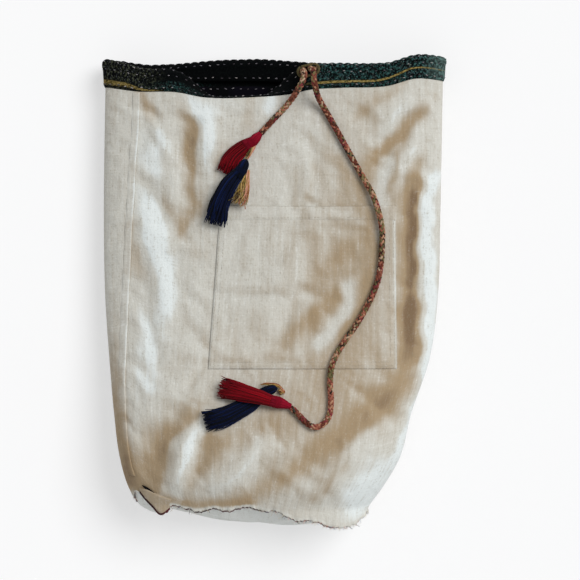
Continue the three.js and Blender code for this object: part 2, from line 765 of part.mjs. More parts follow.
// Straps: each lies straight from the anchor under the mouth to its tab at the base
function addStrap(side, name) {
  const top = new THREE.Vector2(side * strapTopX, strapTopY);
  const bottom = new THREE.Vector2(strapBottomX + side * strapBottomSpread, strapBottomY);
  const line = top.clone().sub(bottom);
  const frame = new THREE.Group();
  frame.position.set(bottom.x, bottom.y, 0);
  frame.rotation.z = Math.atan2(line.y, line.x) - Math.PI / 2;
  group.add(frame);
  const webbing = new THREE.BoxGeometry(strapWidth, line.length(), strapThickness);
  webbing.translate(0, line.length() / 2, (strapLow + strapHigh) / 2);
  add(`${name}_shoulder_strap`, webbing, colours.strap, 0.85, 0, frame);
  const slotFrom = strapLow - layerGap;
  const slotTo = strapHigh + layerGap;
  const buckle = slottedBlock(
    strapWidth + 2 * buckleFrame, buckleLength, slotTo + buckleBar - floorGap, [0],
    slotFrom - floorGap, slotTo - floorGap,
  );
  buckle.translate(0, line.length() * (1 - buckleShare), floorGap);
  add(`${name}_slide_buckle`, buckle, colours.metal, 0.35, 0.9, frame);
  const tab = slottedBlock(tabWidth, tabLength, patchHeight, [0], slotFrom, slotTo);
  add(`${name}_base_tab`, tab, colours.patch, 0.6, 0, frame);
}

// The anchor patch wraps both strap ends, so its slots open towards the base only where straps enter
function addAnchor() {
  const slotFrom = strapLow - layerGap;
  const slotTo = strapHigh + layerGap;
  const patch = toManifold(new THREE.BoxGeometry(anchorWidth, anchorLength, patchHeight)
    .translate(0, strapTopY + 1, patchHeight / 2));
  const cuts = [-1, 1].map((side) => {
    const top = new THREE.Vector2(side * strapTopX, strapTopY);
    const bottom = new THREE.Vector2(strapBottomX + side * strapBottomSpread, strapBottomY);
    const line = top.clone().sub(bottom);
    const cut = new THREE.BoxGeometry(strapWidth + 2 * layerGap, 2 * anchorLength, slotTo - slotFrom);
    cut.translate(0, layerGap - anchorLength, (slotFrom + slotTo) / 2);
    cut.rotateZ(Math.atan2(line.y, line.x) - Math.PI / 2);
    cut.translate(top.x, top.y, 0);
    return toManifold(cut);
  });
  add('strap_anchor_patch', toGeometry(patch.subtract(cuts[0]).subtract(cuts[1])), colours.patch, 0.6);
}

add('canvas_wall', canvasWall(), colours.canvas);
add('lining_wall', liningWall(), colours.lining);
add('base_panel', basePanel(), colours.canvas);
add('base_lining', baseLining(), colours.lining);
add('base_seam_allowance', seamAllowance(), colours.canvas);
add('side_seam', sideSeam(), colours.thread);
add('rim_casing', rimCasing(), colours.casing);
add('cord_buttonhole', buttonhole(), colours.thread);
add('casing_cord_run', casingCordRun(), colours.cord);
add('pocket_panel', pocketPanel(), colours.canvas);
add('pocket_hem', pocketHem(), colours.thread);
add('drawcord_long_end', freeCord(1, longRoute), colours.cord);
add('drawcord_short_end', freeCord(-1, shortRoute), colours.cord);
for (const [name, places, colour] of [
  ['long_end_red_tassel', longRedTassel, colours.red],
  ['long_end_navy_tassel', longNavyTassel, colours.navy],
  ['short_end_red_tassel', shortRedTassel, colours.red],
  ['short_end_navy_tassel', shortNavyTassel, colours.navy],
]) {
  add(`${name}_head`, bundle(places, headSteps, 0, headLength), colour);
  add(`${name}_skirt`, bundle(places, tasselSteps, headLength + layerGap), colour);
}
add('long_end_frayed_tip', bundle(longTip, headSteps), colours.tip);
add('short_end_frayed_tip', bundle(shortTip, headSteps), colours.tip);
addStrap(-1, 'left');
addStrap(1, 'right');
addAnchor();

export default group;
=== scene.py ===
"""Drawstring backpack of linen canvas with a quilted lining, lying on its back."""

import bpy
import numpy as np
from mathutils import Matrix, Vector
from mathutils.bvhtree import BVHTree


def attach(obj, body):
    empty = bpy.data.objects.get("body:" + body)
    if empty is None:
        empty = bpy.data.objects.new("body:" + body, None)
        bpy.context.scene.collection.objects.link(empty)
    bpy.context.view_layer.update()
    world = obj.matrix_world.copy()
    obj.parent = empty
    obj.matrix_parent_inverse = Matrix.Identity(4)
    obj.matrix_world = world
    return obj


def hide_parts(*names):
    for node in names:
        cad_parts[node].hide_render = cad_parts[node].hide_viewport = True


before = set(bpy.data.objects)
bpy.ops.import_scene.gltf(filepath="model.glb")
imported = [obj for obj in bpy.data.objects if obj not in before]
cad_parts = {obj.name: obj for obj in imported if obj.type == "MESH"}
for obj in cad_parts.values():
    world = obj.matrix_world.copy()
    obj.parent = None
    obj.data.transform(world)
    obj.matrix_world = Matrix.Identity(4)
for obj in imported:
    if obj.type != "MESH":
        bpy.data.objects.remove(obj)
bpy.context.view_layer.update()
bpy.ops.object.select_all(action="DESELECT")
dice = np.random.default_rng(11)
MM = 0.001

# Sizes in millimetres, as in the part's source
body_length = 402.5
seam_y = -207.3
edge_y = seam_y + body_length
underside = 6.1
side_share = 0.45
crown_power = 2.3
back_power = 4.5
canvas_thickness = 1.2
mouth_girth = 690.0
tunnel_rise = 18.1
tunnel_depth = -1.5
tunnel_radius = 3.7
casing_thickness = 1.2

stations = [
    (0.0, 0, 162.5, 52), (0.3, -2, 162, 57), (0.5, -2.5, 160, 62), (0.65, -4.5, 153.5, 74),
    (0.78, -11, 142, 89), (0.88, -13.5, 134, 96), (0.95, -17.5, 122, 93), (1.0, -19.5, 109.5, 84),
]
front_edge = [
    (-162, 0), (-130, -5), (-94, -6), (-66, -11.5), (-13, -11), (15, -8.5),
    (34, -4), (63, -2), (108, 0), (136, 7.5), (163.5, 6),
]
back_edge = [(-162, 0), (-20, 2), (60, 0), (120, 3), (163.5, 6)]

# Where the front wall ends at the base, and where its raw allowance ends, by place across
front_seam = [
    (-129, -191), (-123, -186), (-116, -192), (-106, -202), (-96, -198), (-80, -201), (-60, -200),
    (-22, -198), (3, -203), (21, -210), (43, -212), (67, -216), (80, -213), (90, -207),
]
front_fray = [
    (-129, -193), (-123, -188), (-114, -200), (-105, -211), (-95, -204), (-80, -208), (-67, -209.5),
    (-57, -206), (-47, -209), (-22, -205), (-11, -209), (3, -209.5), (14, -214), (21, -217.5),
    (30, -217), (43, -219.5), (50, -223), (67, -224.4), (78, -222), (86, -215), (90, -208),
]
back_seam = [
    (-129, -200), (-115, -203), (-94, -206), (-74, -209), (-50, -212), (-28, -214), (8, -215),
    (40, -215), (70, -214), (90, -209),
]

# Routes of the two cord ends: x, y and height over the front
long_route = [
    (37.3, 206.2, 20), (37.9, 198.2, 23.5), (39.6, 190.1, 19.7), (41.4, 184.4, 13.6),
    (44.2, 178.8, 8.8), (47.5, 173.1, 5.7), (51.5, 166.5, 4.3),
    (67.5, 137.8, 4.2), (86, 104.5, 4.4), (93.2, 92, 6.8), (99.8, 72.2, 7.8), (102.8, 57, 7.2),
    (102.6, 41.8, 6), (101.4, 23.8, 5.9), (98.6, 9, 5.9), (94.4, -2.4, 5.9), (87.4, -16.7, 5.9),
    (78.9, -31.5, 5.9), (67.9, -47, 5.9), (59.6, -60, 5.9), (54.4, -73, 5.9), (52.9, -87, 5),
    (53.7, -104.5, 4.4), (52, -117.8, 4.4), (46.3, -125.8, 4.4), (38.3, -128.6, 4.4),
    (29.6, -123.6, 4.4), (22, -115.6, 4.4), (16, -110.4, 4.4),
]
short_route = [
    (28.9, 204.5, 18.4), (27, 197, 22), (22.6, 189.6, 18.2), (18.9, 184, 12), (14.5, 178.5, 7.2),
    (9.9, 173, 4.7), (0.6, 163.4, 4.2), (-7.9, 154.2, 4.2), (-12.6, 149.2, 4.2),
]
long_start = [(35.947, 209.967, 56.609), (34.682, 209.975, 62.985)]
short_start = [(28.879, 208.281, 55.209), (27.614, 208.288, 61.584)]

# Tassels and frayed tips: x, y, height over the front, half width, half height, head end first
long_red = [
    (13.6, -108.6, 4.8, 3.2, 3.2), (6, -106, 7, 5.4, 4.6), (-3, -103.6, 10.6, 5.5, 3.8),
    (-14, -100, 13.4, 7.2, 3.6), (-32, -95.5, 13, 9.0, 3.8), (-51.5, -91.5, 7, 10.8, 4.2),
]
long_navy = [
    (3, -91.8, 4.6, 3.4, 3.6), (-3, -93.8, 4.6, 4.6, 4.2), (-9, -96.4, 4.5, 4.8, 3.7),
    (-22, -106, 4.4, 8.8, 3.4), (-44, -117.4, 4.4, 9.8, 3.4), (-65.5, -123.8, 5, 11.2, 4.2),
]
long_tip = [(5.6, -93, 4.2, 2.2, 2.4), (7.6, -95.4, 3.8, 2.6, 2.4), (8.4, -98.4, 3, 2.2, 2)]
short_red = [
    (-13.4, 148.4, 4.3, 3.2, 3.4), (-16.6, 144.9, 4.6, 4.6, 4.2), (-20, 141.3, 4.6, 4.9, 3.8),
    (-29, 135.2, 4.4, 7.4, 3.4), (-40, 125, 4.2, 9, 3.4), (-46.5, 110.6, 4.2, 9.4, 3.6),
]
short_navy = [
    (-26, 123.6, 12.1, 3.6, 3.4), (-28.4, 118.6, 12.4, 5, 4.2), (-31.2, 113.2, 11.9, 5.3, 3.8),
    (-42, 101.2, 11.8, 8.4, 3.6), (-51.5, 81.4, 9.2, 9.8, 3.8), (-56.5, 61.6, 7.4, 11.2, 4.2),
]
short_tip = [(-20.6, 117.6, 8.8, 2.2, 2.2), (-25.4, 104, 7, 2.6, 2.4), (-33, 82, 6.6, 5, 2.6)]
head_length = 17.0


def between(table, key):
    """Smooth values between the rows of a table, by its first column."""
    table = np.asarray(table, float)
    keys, values = table[:, 0], table[:, 1:]
    key = np.clip(np.asarray(key, float), keys[0], keys[-1])
    right = np.clip(np.searchsorted(keys, key, side="right"), 1, len(keys) - 1)
    left = right - 1
    before = np.where(left == 0, right, left - 1)
    after = np.where(right == len(keys) - 1, left, np.minimum(right + 1, len(keys) - 1))
    half = (keys[right] - keys[left]) / 2
    pull = half / (keys[left] - keys[before])
    push = half / (keys[after] - keys[right])
    p = (key - keys[left]) / (keys[right] - keys[left])
    weights = [
        -pull * p**3 + 2 * pull * p**2 - pull * p,
        (1 + pull) * p**3 + (-1.5 - 2 * pull) * p**2 + (-0.5 + pull) * p + 1,
        (-1 - push) * p**3 + (1.5 + push) * p**2 + 0.5 * p,
        push * p**3 - push * p**2,
    ]
    rows = [before, left, right, after]
    return sum(w[..., None] * values[r] for w, r in zip(weights, rows))


def smooth(low, high, value):
    share = np.clip((np.asarray(value, float) - low) / (high - low), 0, 1)
    return share * share * (3 - 2 * share)


def station(y):
    centre, half, crown = np.moveaxis(between(stations, (edge_y - y) / body_length), -1, 0)
    return centre, half, crown, underside + side_share * (crown - underside)


def wall_point(turn, y):
    """Point of the canvas' outer face: turn 0 is the right fold, 0.5 the left one, by the front."""
    turn, y = np.broadcast_arrays(np.asarray(turn, float), np.asarray(y, float))
    shape = turn.shape
    turn, y = turn.ravel() % 1, y.ravel()
    angle = np.linspace(0, 2 * np.pi, 121)
    power = 2 / np.where(angle <= np.pi, crown_power, back_power)
    across = np.sign(np.cos(angle)) * np.abs(np.cos(angle)) ** power
    rise = np.sign(np.sin(angle)) * np.abs(np.sin(angle)) ** power
    centre, half, crown, side = (v[:, None] for v in station(y))
    x = centre + half * across
    z = side + np.where(rise > 0, crown - side, side - underside) * rise
    steps = np.hypot(np.diff(x, axis=1), np.diff(z, axis=1))
    lengths = np.concatenate([np.zeros((len(y), 1)), np.cumsum(steps, axis=1)], axis=1)
    goal = turn * lengths[:, -1]
    step = np.clip((lengths < goal[:, None]).sum(axis=1), 1, 120)
    row = np.arange(len(y))
    share = (goal - lengths[row, step - 1]) / (lengths[row, step] - lengths[row, step - 1])
    px = x[row, step - 1] + share * (x[row, step] - x[row, step - 1])
    pz = z[row, step - 1] + share * (z[row, step] - z[row, step - 1])
    return np.stack([px, y, pz], axis=-1).reshape(shape + (3,))


def unit(v):
    return v / np.maximum(np.linalg.norm(v, axis=-1, keepdims=True), 1e-9)


def turns_from_back(count):
    """Even places round the bag, the first in the middle of its back."""
    return 0.75 + np.arange(count) / count


def wall_frame(turn, y):
    """Point of the wall and three ways there: to the mouth, round the bag and outwards."""
    to_mouth = unit(wall_point(turn, y + 2) - wall_point(turn, y - 2))
    around = unit(wall_point(turn + 0.004, y) - wall_point(turn - 0.004, y))
    return wall_point(turn, y), to_mouth, around, unit(np.cross(to_mouth, around))


def front_height(x, y):
    centre, half, crown, side = station(np.minimum(y, edge_y))
    across = np.minimum(1, np.abs((x - centre) / half))
    return side + (crown - side) * (1 - across**crown_power) ** (1 / crown_power)


def rim_frame(turn):
    """Place of the rim: the canvas edge, its frame, and how far the rim is rolled inwards."""
    nominal = wall_point(turn, edge_y)
    in_front = nominal[:, 2] > station(np.array([edge_y]))[3][0]
    past = np.where(in_front, *(between(edge, nominal[:, 0])[:, 0] for edge in (front_edge, back_edge)))
    point, to_mouth, _, outward = wall_frame(turn, edge_y + past)
    roll = np.pi / 2 * (smooth(-110, -54, nominal[:, 0]) - smooth(-14, 36, nominal[:, 0])) * in_front
    c, s = np.cos(roll)[:, None], np.sin(roll)[:, None]
    return point, to_mouth * c - outward * s, to_mouth * s + outward * c, edge_y + past, in_front, roll


def wall_end(turn):
    """Where the wall is sewn to the base, and where its raw allowance ends."""
    nominal = wall_point(turn, seam_y)
    crown = station(np.array([seam_y]))[2][0]
    rise = (nominal[:, 2] - underside) / (crown - underside)
    in_front = smooth(0.3, 0.8, rise)
    front, back, fray = (between(edge, nominal[:, 0])[:, 0] for edge in (front_seam, back_seam, front_fray))
    return back + (front - back) * in_front, (back - 3) + (fray - back + 3) * in_front, in_front


def follow(goal, along, values):
    """The columns of values read off at places of a line."""
    return np.stack([np.interp(goal, along, column) for column in np.asarray(values).T], axis=1)


def line_lengths(points):
    """How far along a line each of its points lies."""
    return np.concatenate([[0], np.cumsum(np.linalg.norm(np.diff(points, axis=0), axis=1))])


def curve_through(points, spacing):
    """Evenly spaced points on a smooth line through the given ones."""
    points = np.asarray(points, float)
    points = np.vstack([2 * points[0] - points[1], points, 2 * points[-1] - points[-2]])
    dense = []
    for i in range(1, len(points) - 2):
        p0, p1, p2, p3 = points[i - 1 : i + 3]
        d0, d1, d2 = (max(np.linalg.norm(b - a), 1e-6) ** 0.5 for a, b in ((p0, p1), (p1, p2), (p2, p3)))
        t1 = ((p1 - p0) / d0 - (p2 - p0) / (d0 + d1) + (p2 - p1) / d1) * d1
        t2 = ((p2 - p1) / d1 - (p3 - p1) / (d1 + d2) + (p3 - p2) / d2) * d1
        t = np.linspace(0, 1, 40, endpoint=False)[:, None]
        dense.append(p1 + t1 * t + (-3 * p1 + 3 * p2 - 2 * t1 - t2) * t**2 + (2 * p1 - 2 * p2 + t1 + t2) * t**3)
    dense = np.vstack(dense + [points[-2][None]])
    lengths = line_lengths(dense)
    count = max(4, int(round(lengths[-1] / spacing)) + 1)
    goal = np.linspace(0, lengths[-1], count)
    return follow(goal, lengths, dense), lengths[-1]


def carried_frames(path):
    """Two directions across a line, carried along it without twist."""
    tangents = unit(np.gradient(path, axis=0))
    first = np.cross(tangents[0], [0, 0, 1.0])
    if np.linalg.norm(first) < 0.1:
        first = np.cross(tangents[0], [1.0, 0, 0])
    firsts = [first / np.linalg.norm(first)]
    for tangent in tangents[1:]:
        moved = firsts[-1] - tangent * np.dot(firsts[-1], tangent)
        firsts.append(moved / np.linalg.norm(moved))
    firsts = np.array(firsts)
    return firsts, np.cross(tangents, firsts)


def threads(paths, radii, sides=5, facing=None):
    """Round threads along many lines of equal count: points, faces and the thread of each point."""
    paths = np.asarray(paths, float)
    count, steps = paths.shape[:2]
    tangents = unit(np.gradient(paths, axis=1))
    facing = np.broadcast_to(np.array([0.02, 0.03, 1.0]) if facing is None else facing, paths.shape)
    level = unit(np.cross(tangents, facing))
    above = np.cross(level, tangents)
    angle = np.arange(sides) * 2 * np.pi / sides
    radii = np.broadcast_to(radii, (count, steps))[:, :, None, None]
    ring = level[:, :, None] * np.cos(angle)[:, None] + above[:, :, None] * np.sin(angle)[:, None]
    points = (paths[:, :, None] + radii * ring).reshape(-1, 3)
    index = np.arange(count * steps * sides).reshape(count, steps, sides)
    a, b = index[:, :-1], index[:, 1:]
    faces = np.stack([a, np.roll(a, -1, 2), np.roll(b, -1, 2), b], axis=-1).reshape(-1, 4)
    caps = [row[::-1] for row in index[:, 0]] + list(index[:, -1])
    return points, [faces] + [np.array(caps)], np.repeat(np.arange(count), steps * sides)


def tint(code):
    value = np.array([int(code[i : i + 2], 16) for i in (1, 3, 5)]) / 255
    linear = np.where(value <= 0.04045, value / 12.92, ((value + 0.055) / 1.055) ** 2.4)
    return (*linear, 1.0)


def dyes_of(*codes):
    return np.array([tint(code)[:3] for code in codes])


class Wire:
    """A shader value; sums and products of it add their own nodes."""

    def __init__(self, finish, socket):
        self.finish, self.socket = finish, socket

    def maths(self, operation, *values):
        return self.finish.make("Math", {"operation": operation}, dict(enumerate(values)))

    def __add__(self, other):
        return self.maths("ADD", self, other)

    def __sub__(self, other):
        return self.maths("SUBTRACT", self, other)

    def __rsub__(self, other):
        return self.maths("SUBTRACT", other, self)

    def __mul__(self, other):
        return self.maths("MULTIPLY", self, other)

    __radd__, __rmul__ = __add__, __mul__

    def sine(self):
        return self.maths("SINE", self)

    def absolute(self):
        return self.maths("ABSOLUTE", self)

    def step(self, low, high):
        return self.finish.make(
            "MapRange", {"interpolation_type": "SMOOTHSTEP"}, {"Value": self, "From Min": low, "From Max": high}
        )


class Finish:
    """A material that is written as expressions on its wires."""

    def __init__(self, name, **plain):
        self.material = bpy.data.materials.new(name)
        self.material.use_nodes = True
        self.nodes, self.links = self.material.node_tree.nodes, self.material.node_tree.links
        self.shader = self.nodes["Principled BSDF"]
        for key, value in plain.items():
            self.shader.inputs[key.replace("_", " ")].default_value = value

    def feed(self, socket, value):
        if isinstance(value, Wire):
            self.links.new(value.socket, socket)
        else:
            socket.default_value = tint(value) if isinstance(value, str) else value

    def make(self, kind, settings, inputs, output=0):
        node = self.nodes.new("ShaderNode" + kind)
        for key, value in settings.items():
            if key == "stops":
                ramp = node.color_ramp
                while len(ramp.elements) < len(value):
                    ramp.elements.new(0.5)
                for element, (place, colour) in zip(ramp.elements, value):
                    element.position, element.color = place, tint(colour)
            else:
                setattr(node, key, value)
        for key, value in inputs.items():
            self.feed(node.inputs[key], value)
        return Wire(self, node.outputs[output])

    def place(self, output="UV"):
        return self.make("TexCoord", {}, {}, output)

    def axes(self, vector):
        return [self.make("SeparateXYZ", {}, {0: vector}, k) for k in range(3)]

    def stretched(self, vector, sizes):
        """Coordinates in units of the given sizes, in millimetres."""
        scale = tuple(1 / (size * MM) for size in sizes)
        return self.make("VectorMath", {"operation": "MULTIPLY"}, {0: vector, 1: scale})

    def grain(self, vector, sizes, detail=2.0, roughness=0.5, colour=False):
        where = self.stretched(vector, sizes)
        inputs = {"Vector": where, "Scale": 1.0, "Detail": detail, "Roughness": roughness}
        return self.make("TexNoise", {}, inputs, "Color" if colour else "Fac")

    def mixed(self, share, first, second, blend="MIX"):
        settings = {"data_type": "RGBA", "blend_type": blend}
        return self.make("Mix", settings, {0: share, 6: first, 7: second}, 2)

    def mask(self, name, output="Fac"):
        return self.make("Attribute", {"attribute_name": name}, {}, output)

    def laid(self, tone, *layers):
        """Colours laid over a tone in turn, each with its share."""
        for share, colour in layers:
            tone = self.mixed(share, tone, colour)
        return tone

    def done(self, colour, rough, height, depth):
        """Colour, roughness and relief in millimetres put on the shader."""
        bump = self.make("Bump", {}, {"Height": height, "Distance": depth * MM, "Strength": 1.0}, "Normal")
        for name, value in (("Base Color", colour), ("Roughness", rough), ("Normal", bump)):
            self.feed(self.shader.inputs[name], value)
        return self


def weave(finish, uv, pitch):
    """Height of a plain weave whose threads are a pitch wide."""
    drift = finish.grain(uv, (9, 9, 9), 1.0)
    across, along = (
        (axis * (np.pi / (pitch * MM)) + drift * sway).sine() for axis, sway in zip(finish.axes(uv), (1.6, 1.4))
    )
    over = across * along
    return across.absolute() * (0.5 + over * 0.5) + along.absolute() * (0.5 - over * 0.5)


def linen(name, pale, shading_paint, deep):
    """Undyed linen: slubby threads along the bag, thinner ones across, random warm blotches, and painted shading:
    painted shade, warm and deeper, in its folds and on sides away from the light, and painted highlight, cool, on lit
    sides.
    """
    finish = Finish(name, Sheen_Weight=0.05, Specular_IOR_Level=0.15)
    uv = finish.place()
    streaks, broad_streaks, slubs, specks, blotch, mottle, crumple = (finish.grain(uv, *kind) for kind in (
        ((1.7, 26, 1), 3.0, 0.65), ((5.5, 130, 1), 2.0, 0.55), ((16, 1.6, 1), 3.0, 0.65), ((1.6, 1.9, 1), 1.0),
        ((80, 95, 1), 2.0, 0.5), ((3.6, 6.5, 1), 3.0, 0.7), ((10, 16, 1), 3.0, 0.6),
    ))
    woven = weave(finish, uv, 0.95)
    # Warmth: random blotches and broad streaks, plus the painted shading attribute, which is painted shade above 0 and
    # painted highlight below 0
    tone_and_painted_shade = (blotch - 0.5) * 0.3 + finish.mask("tan") + (broad_streaks - 0.5) * 0.4
    tone_and_shade_share = tone_and_painted_shade.step(0.0, 1.0)
    lines = (streaks - 0.5) * 0.9 + (broad_streaks - 0.5) * 0.5 + (slubs - 0.5) * 0.7
    lines = lines + (specks - 0.5) * 0.7 + (mottle - 0.5) * 0.9
    # Over the pale ground: painted shade in the warm colour, painted highlight in the cool pale colour, deeper painted
    # shade in the dark brown, then light and dark thread streaks
    tone = finish.laid(
        pale, (tone_and_shade_share, shading_paint), ((0.0 - tone_and_painted_shade).step(0.0, 0.5), "#e6eceb"),
        ((tone_and_painted_shade - 1.0).step(0.0, 0.5), "#846c52"), (lines.step(0.0, 0.6) * 0.6, deep),
        ((0.0 - lines).step(0.0, 0.6) * (0.6 - tone_and_shade_share * 0.42), "#f2f3ef"),
        # painted shade in the weave's hollows, between the threads
        ((1 - woven).step(0.35, 0.95) * 0.25, deep),
    )
    height = woven * 0.4 + streaks * 0.5 + slubs * 0.5 + specks * 0.35 + mottle * 1.1 + crumple * 3.2
    return finish.done(tone, 0.88 + streaks * 0.1, height, 0.4)


def quilted(name, ground, second, worn):
    """Lining cloth in two close tones, worn soft."""
    finish = Finish(name, Sheen_Weight=0.0, Specular_IOR_Level=0.05)
    uv = finish.place()
    patches, fine = finish.grain(uv, (26, 30, 1), 2.0), finish.grain(uv, (1.6, 1.6, 1), 2.0)
    tone = finish.laid(ground, (patches.step(0.4, 0.62), second), (fine.step(0.55, 0.8) * 0.4, worn))
    return finish.done(tone, 0.9 + fine * 0.08, weave(finish, uv, 0.6) * 0.3 + fine * 0.4, 0.25)


def patterned(name):
    """Woven casing cloth: black with green and grey flecks, and a gold stripe near its edge."""
    finish = Finish(name, Sheen_Weight=0.0, Specular_IOR_Level=0.04)
    uv = finish.place()
    v = finish.axes(uv)[1]
    right, left, outer, teal = (finish.mask(kind) for kind in ("right", "left", "outer", "teal"))
    fine, tufts, hue, along = (finish.grain(uv, *kind) for kind in (
        ((1.5, 1.7, 1), 2.0, 0.7), ((2.4, 2.8, 1), 2.0, 0.6), ((7.0, 4.0, 1), 2.0, 0.6), ((4.2, 1.4, 1), 2.0),
    ))
    fleck, gold = (finish.make("ValToRGB", {"stops": stops}, {"Fac": share}) for share, stops in (
        (hue, [(0.32, "#343c2c"), (0.42, "#1f4643"), (0.52, "#44706c"), (0.62, "#3a474e"), (0.72, "#63745f")]),
        (along, [(0.3, "#2e2a14"), (0.43, "#6e5f2c"), (0.55, "#a8925a"), (0.64, "#857340"), (0.74, "#3c3a1c")]),
    ))
    strength = (right * 0.95 + teal * (1 - v.step(6 * MM, 12 * MM)) * 0.8) * outer
    wander = finish.grain(uv, (22, 22, 1), 1.0)
    away = (v + (wander - 0.5) * (1.2 * MM) - finish.mask("gold_height")).absolute()
    half = finish.mask("gold_half")
    amount = finish.mask("gold_amount") * outer * (0.55 + fine.step(0.4, 0.56) * 0.45)
    tone = finish.laid(
        "#030405", (fine.step(0.4, 0.8), "#0d1110"),
        (tufts.step(0.44, 0.62) * strength * (0.35 + fine.step(0.4, 0.65) * 0.65), fleck),
        (fine.step(0.6, 0.74) * strength * 0.65, "#8fa09a"),
        (tufts.step(0.5, 0.64) * left * outer * 0.5, "#565a46"),
        (fine.step(0.58, 0.7) * left * outer * 0.45, "#868c8e"),
        ((1 - away.step(half, half * 1.7)) * amount * 0.75, "#16150c"),
        ((1 - away.step(half * 0.6, half)) * amount * along.step(0.3, 0.46), gold),
        # paler grey teal towards the rim's right end
        (finish.mask("faded") * (0.2 + tufts.step(0.42, 0.6) * 0.4), "#6f8a84"),
    )
    return finish.done(tone, 0.88 + fine * 0.1, weave(finish, uv, 0.66) * 0.35 + fine * 0.35 + tufts * 0.4, 0.35)


def yarn(name, rough=0.75):
    """Thread whose colour is dyed per strand, with fine lint."""
    finish = Finish(name, Sheen_Weight=0.02, Specular_IOR_Level=0.08)
    lint = finish.grain(finish.place("Object"), (0.5, 0.5, 0.5), 2.0)
    lit = finish.mixed(lint.step(0.35, 0.7) * 0.45, finish.mask("dye", "Color"), "#ffffff", "SOFT_LIGHT")
    shaded = finish.mixed((1 - lint).step(0.45, 0.75) * 0.5, lit, "#000000", "SOFT_LIGHT")
    return finish.done(shaded, rough + lint * 0.15, lint, 0.16)


def leather():
    finish = Finish("brown_leather", Specular_IOR_Level=0.35)
    where = finish.place("Object")
    inputs = {"Vector": finish.stretched(where, (1.4, 1.4, 1.4)), "Scale": 1.0}
    pores = finish.make("TexVoronoi", {"feature": "DISTANCE_TO_EDGE"}, inputs)
    worn = finish.grain(where, (14, 14, 14), 3.0)
    tone = finish.mixed(worn.step(0.35, 0.7), "#5a3a25", "#835a3a")
    return finish.done(tone, 0.5 + worn * 0.3, pores.step(0.0, 0.18), 0.15)


def brass():
    finish = Finish("aged_brass", Metallic=1.0)
    where = finish.place("Object")
    tarnish = finish.grain(where, (5, 5, 5), 4.0, 0.6)
    tone = finish.mixed(tarnish.step(0.45, 0.7), "#b39a5c", "#7c6a43")
    return finish.done(tone, 0.28 + tarnish * 0.3, finish.grain(where, (0.4, 3, 3), 1.0), 0.03)


def webbing():
    finish = Finish("cotton_webbing", Sheen_Weight=0.08, Specular_IOR_Level=0.2)
    uv = finish.place()
    u, v, _ = finish.axes(uv)
    ribs = (u * (np.pi / (1.1 * MM)) + (v * (np.pi / (1.6 * MM))).sine().absolute()).sine().absolute()
    wear = finish.grain(uv, (9, 26, 1), 3.0)
    # The last layer is painted shade in the grooves between the ribs
    tone = finish.laid("#c9bea6", (wear.step(0.35, 0.7), "#b2a484"), ((1 - ribs) * 0.3, "#8f8264"))
    return finish.done(tone, 0.88 + ribs * 0.05, ribs, 0.35)


# Each linen gives its pale ground, the colour of its painted shade and the colour of its streaks
canvas_linen = linen("canvas_linen", "#d2d0c7", "#a89274", "#9c907a")
# Painted light: the base's linen is paler than the canvas, standing in for light that the base, turned away from the
# sun, does not get
painted_lit_base_linen = linen("painted_lit_base_linen", "#eceeea", "#d6d2c4", "#b6b3a5")
lining_cloth = quilted("black_lining", "#050607", "#0b0911", "#12171a")
raw_lining = quilted("raw_lining", "#5e2c30", "#3c2226", "#806060")
casing_cloth = patterned("casing_cloth")
cord_yarn = yarn("cord_yarn")
tassel_yarn = yarn("tassel_thread")
sewing_thread = yarn("sewing_thread", 0.7)
strap_webbing = webbing()
patch_leather = leather()
buckle_brass = brass()


def piece(name, points, faces, finish, replaces=(), uv=None, dye=None, masks=None, body="bag"):
    """A smooth mesh from millimetre points, riding on its body. uv is per face corner, in metres."""
    points = np.asarray(points).reshape(-1, 3)
    mesh = bpy.data.meshes.new(name)
    mesh.from_pydata((points * MM).tolist(), [], [f for group in faces for f in group.tolist()])
    if uv is not None:
        mesh.uv_layers.new(name="UVMap").data.foreach_set("uv", np.asarray(uv, float).ravel())
    if dye is not None:
        colours = np.ones((len(points), 4))
        colours[:, :3] = dye
        mesh.color_attributes.new("dye", "FLOAT_COLOR", "POINT").data.foreach_set("color", colours.ravel())
    for mask, values in (masks or {}).items():
        mesh.attributes.new(mask, "FLOAT", "POINT").data.foreach_set("value", np.asarray(values, float).ravel())
    mesh.materials.append(finish.material)
    mesh.shade_smooth()
    obj = bpy.data.objects.new(name, mesh)
    bpy.context.scene.collection.objects.link(obj)
    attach(obj, body)
    if replaces:
        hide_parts(*replaces)
    return obj


def apply_live(obj, modifier):
    bpy.context.view_layer.objects.active = obj
    obj.select_set(True)
    bpy.ops.object.modifier_apply(modifier=modifier.name)
    obj.select_set(False)


def apply_modifier(obj, kind, **settings):
    modifier = obj.modifiers.new(kind.title(), kind)
    for key, value in settings.items():
        setattr(modifier, key, value)
    apply_live(obj, modifier)


def thicken(obj, thickness):
    """Gives a cloth its thickness, inwards from the face that was made."""
    apply_modifier(obj, "SOLIDIFY", thickness=thickness * MM, offset=-1.0, use_even_offset=False)


def grid_faces(rows, columns, closed=True):
    """Faces of a grid, closed round on itself or not, and the grid place of each face corner."""
    r, c = np.meshgrid(np.arange(rows - 1), np.arange(columns - (not closed)), indexing="ij")
    corners = np.stack([r, c, r, c + 1, r + 1, c + 1, r + 1, c], axis=-1).reshape(-1, 4, 2)
    return corners[..., 0] * columns + corners[..., 1] % columns, corners


def picked(dyes, count, low, high):
    """A dye for each of many threads, some lighter and some darker."""
    return dyes[dice.integers(0, len(dyes), count)] * dice.uniform(low, high, count)[:, None]


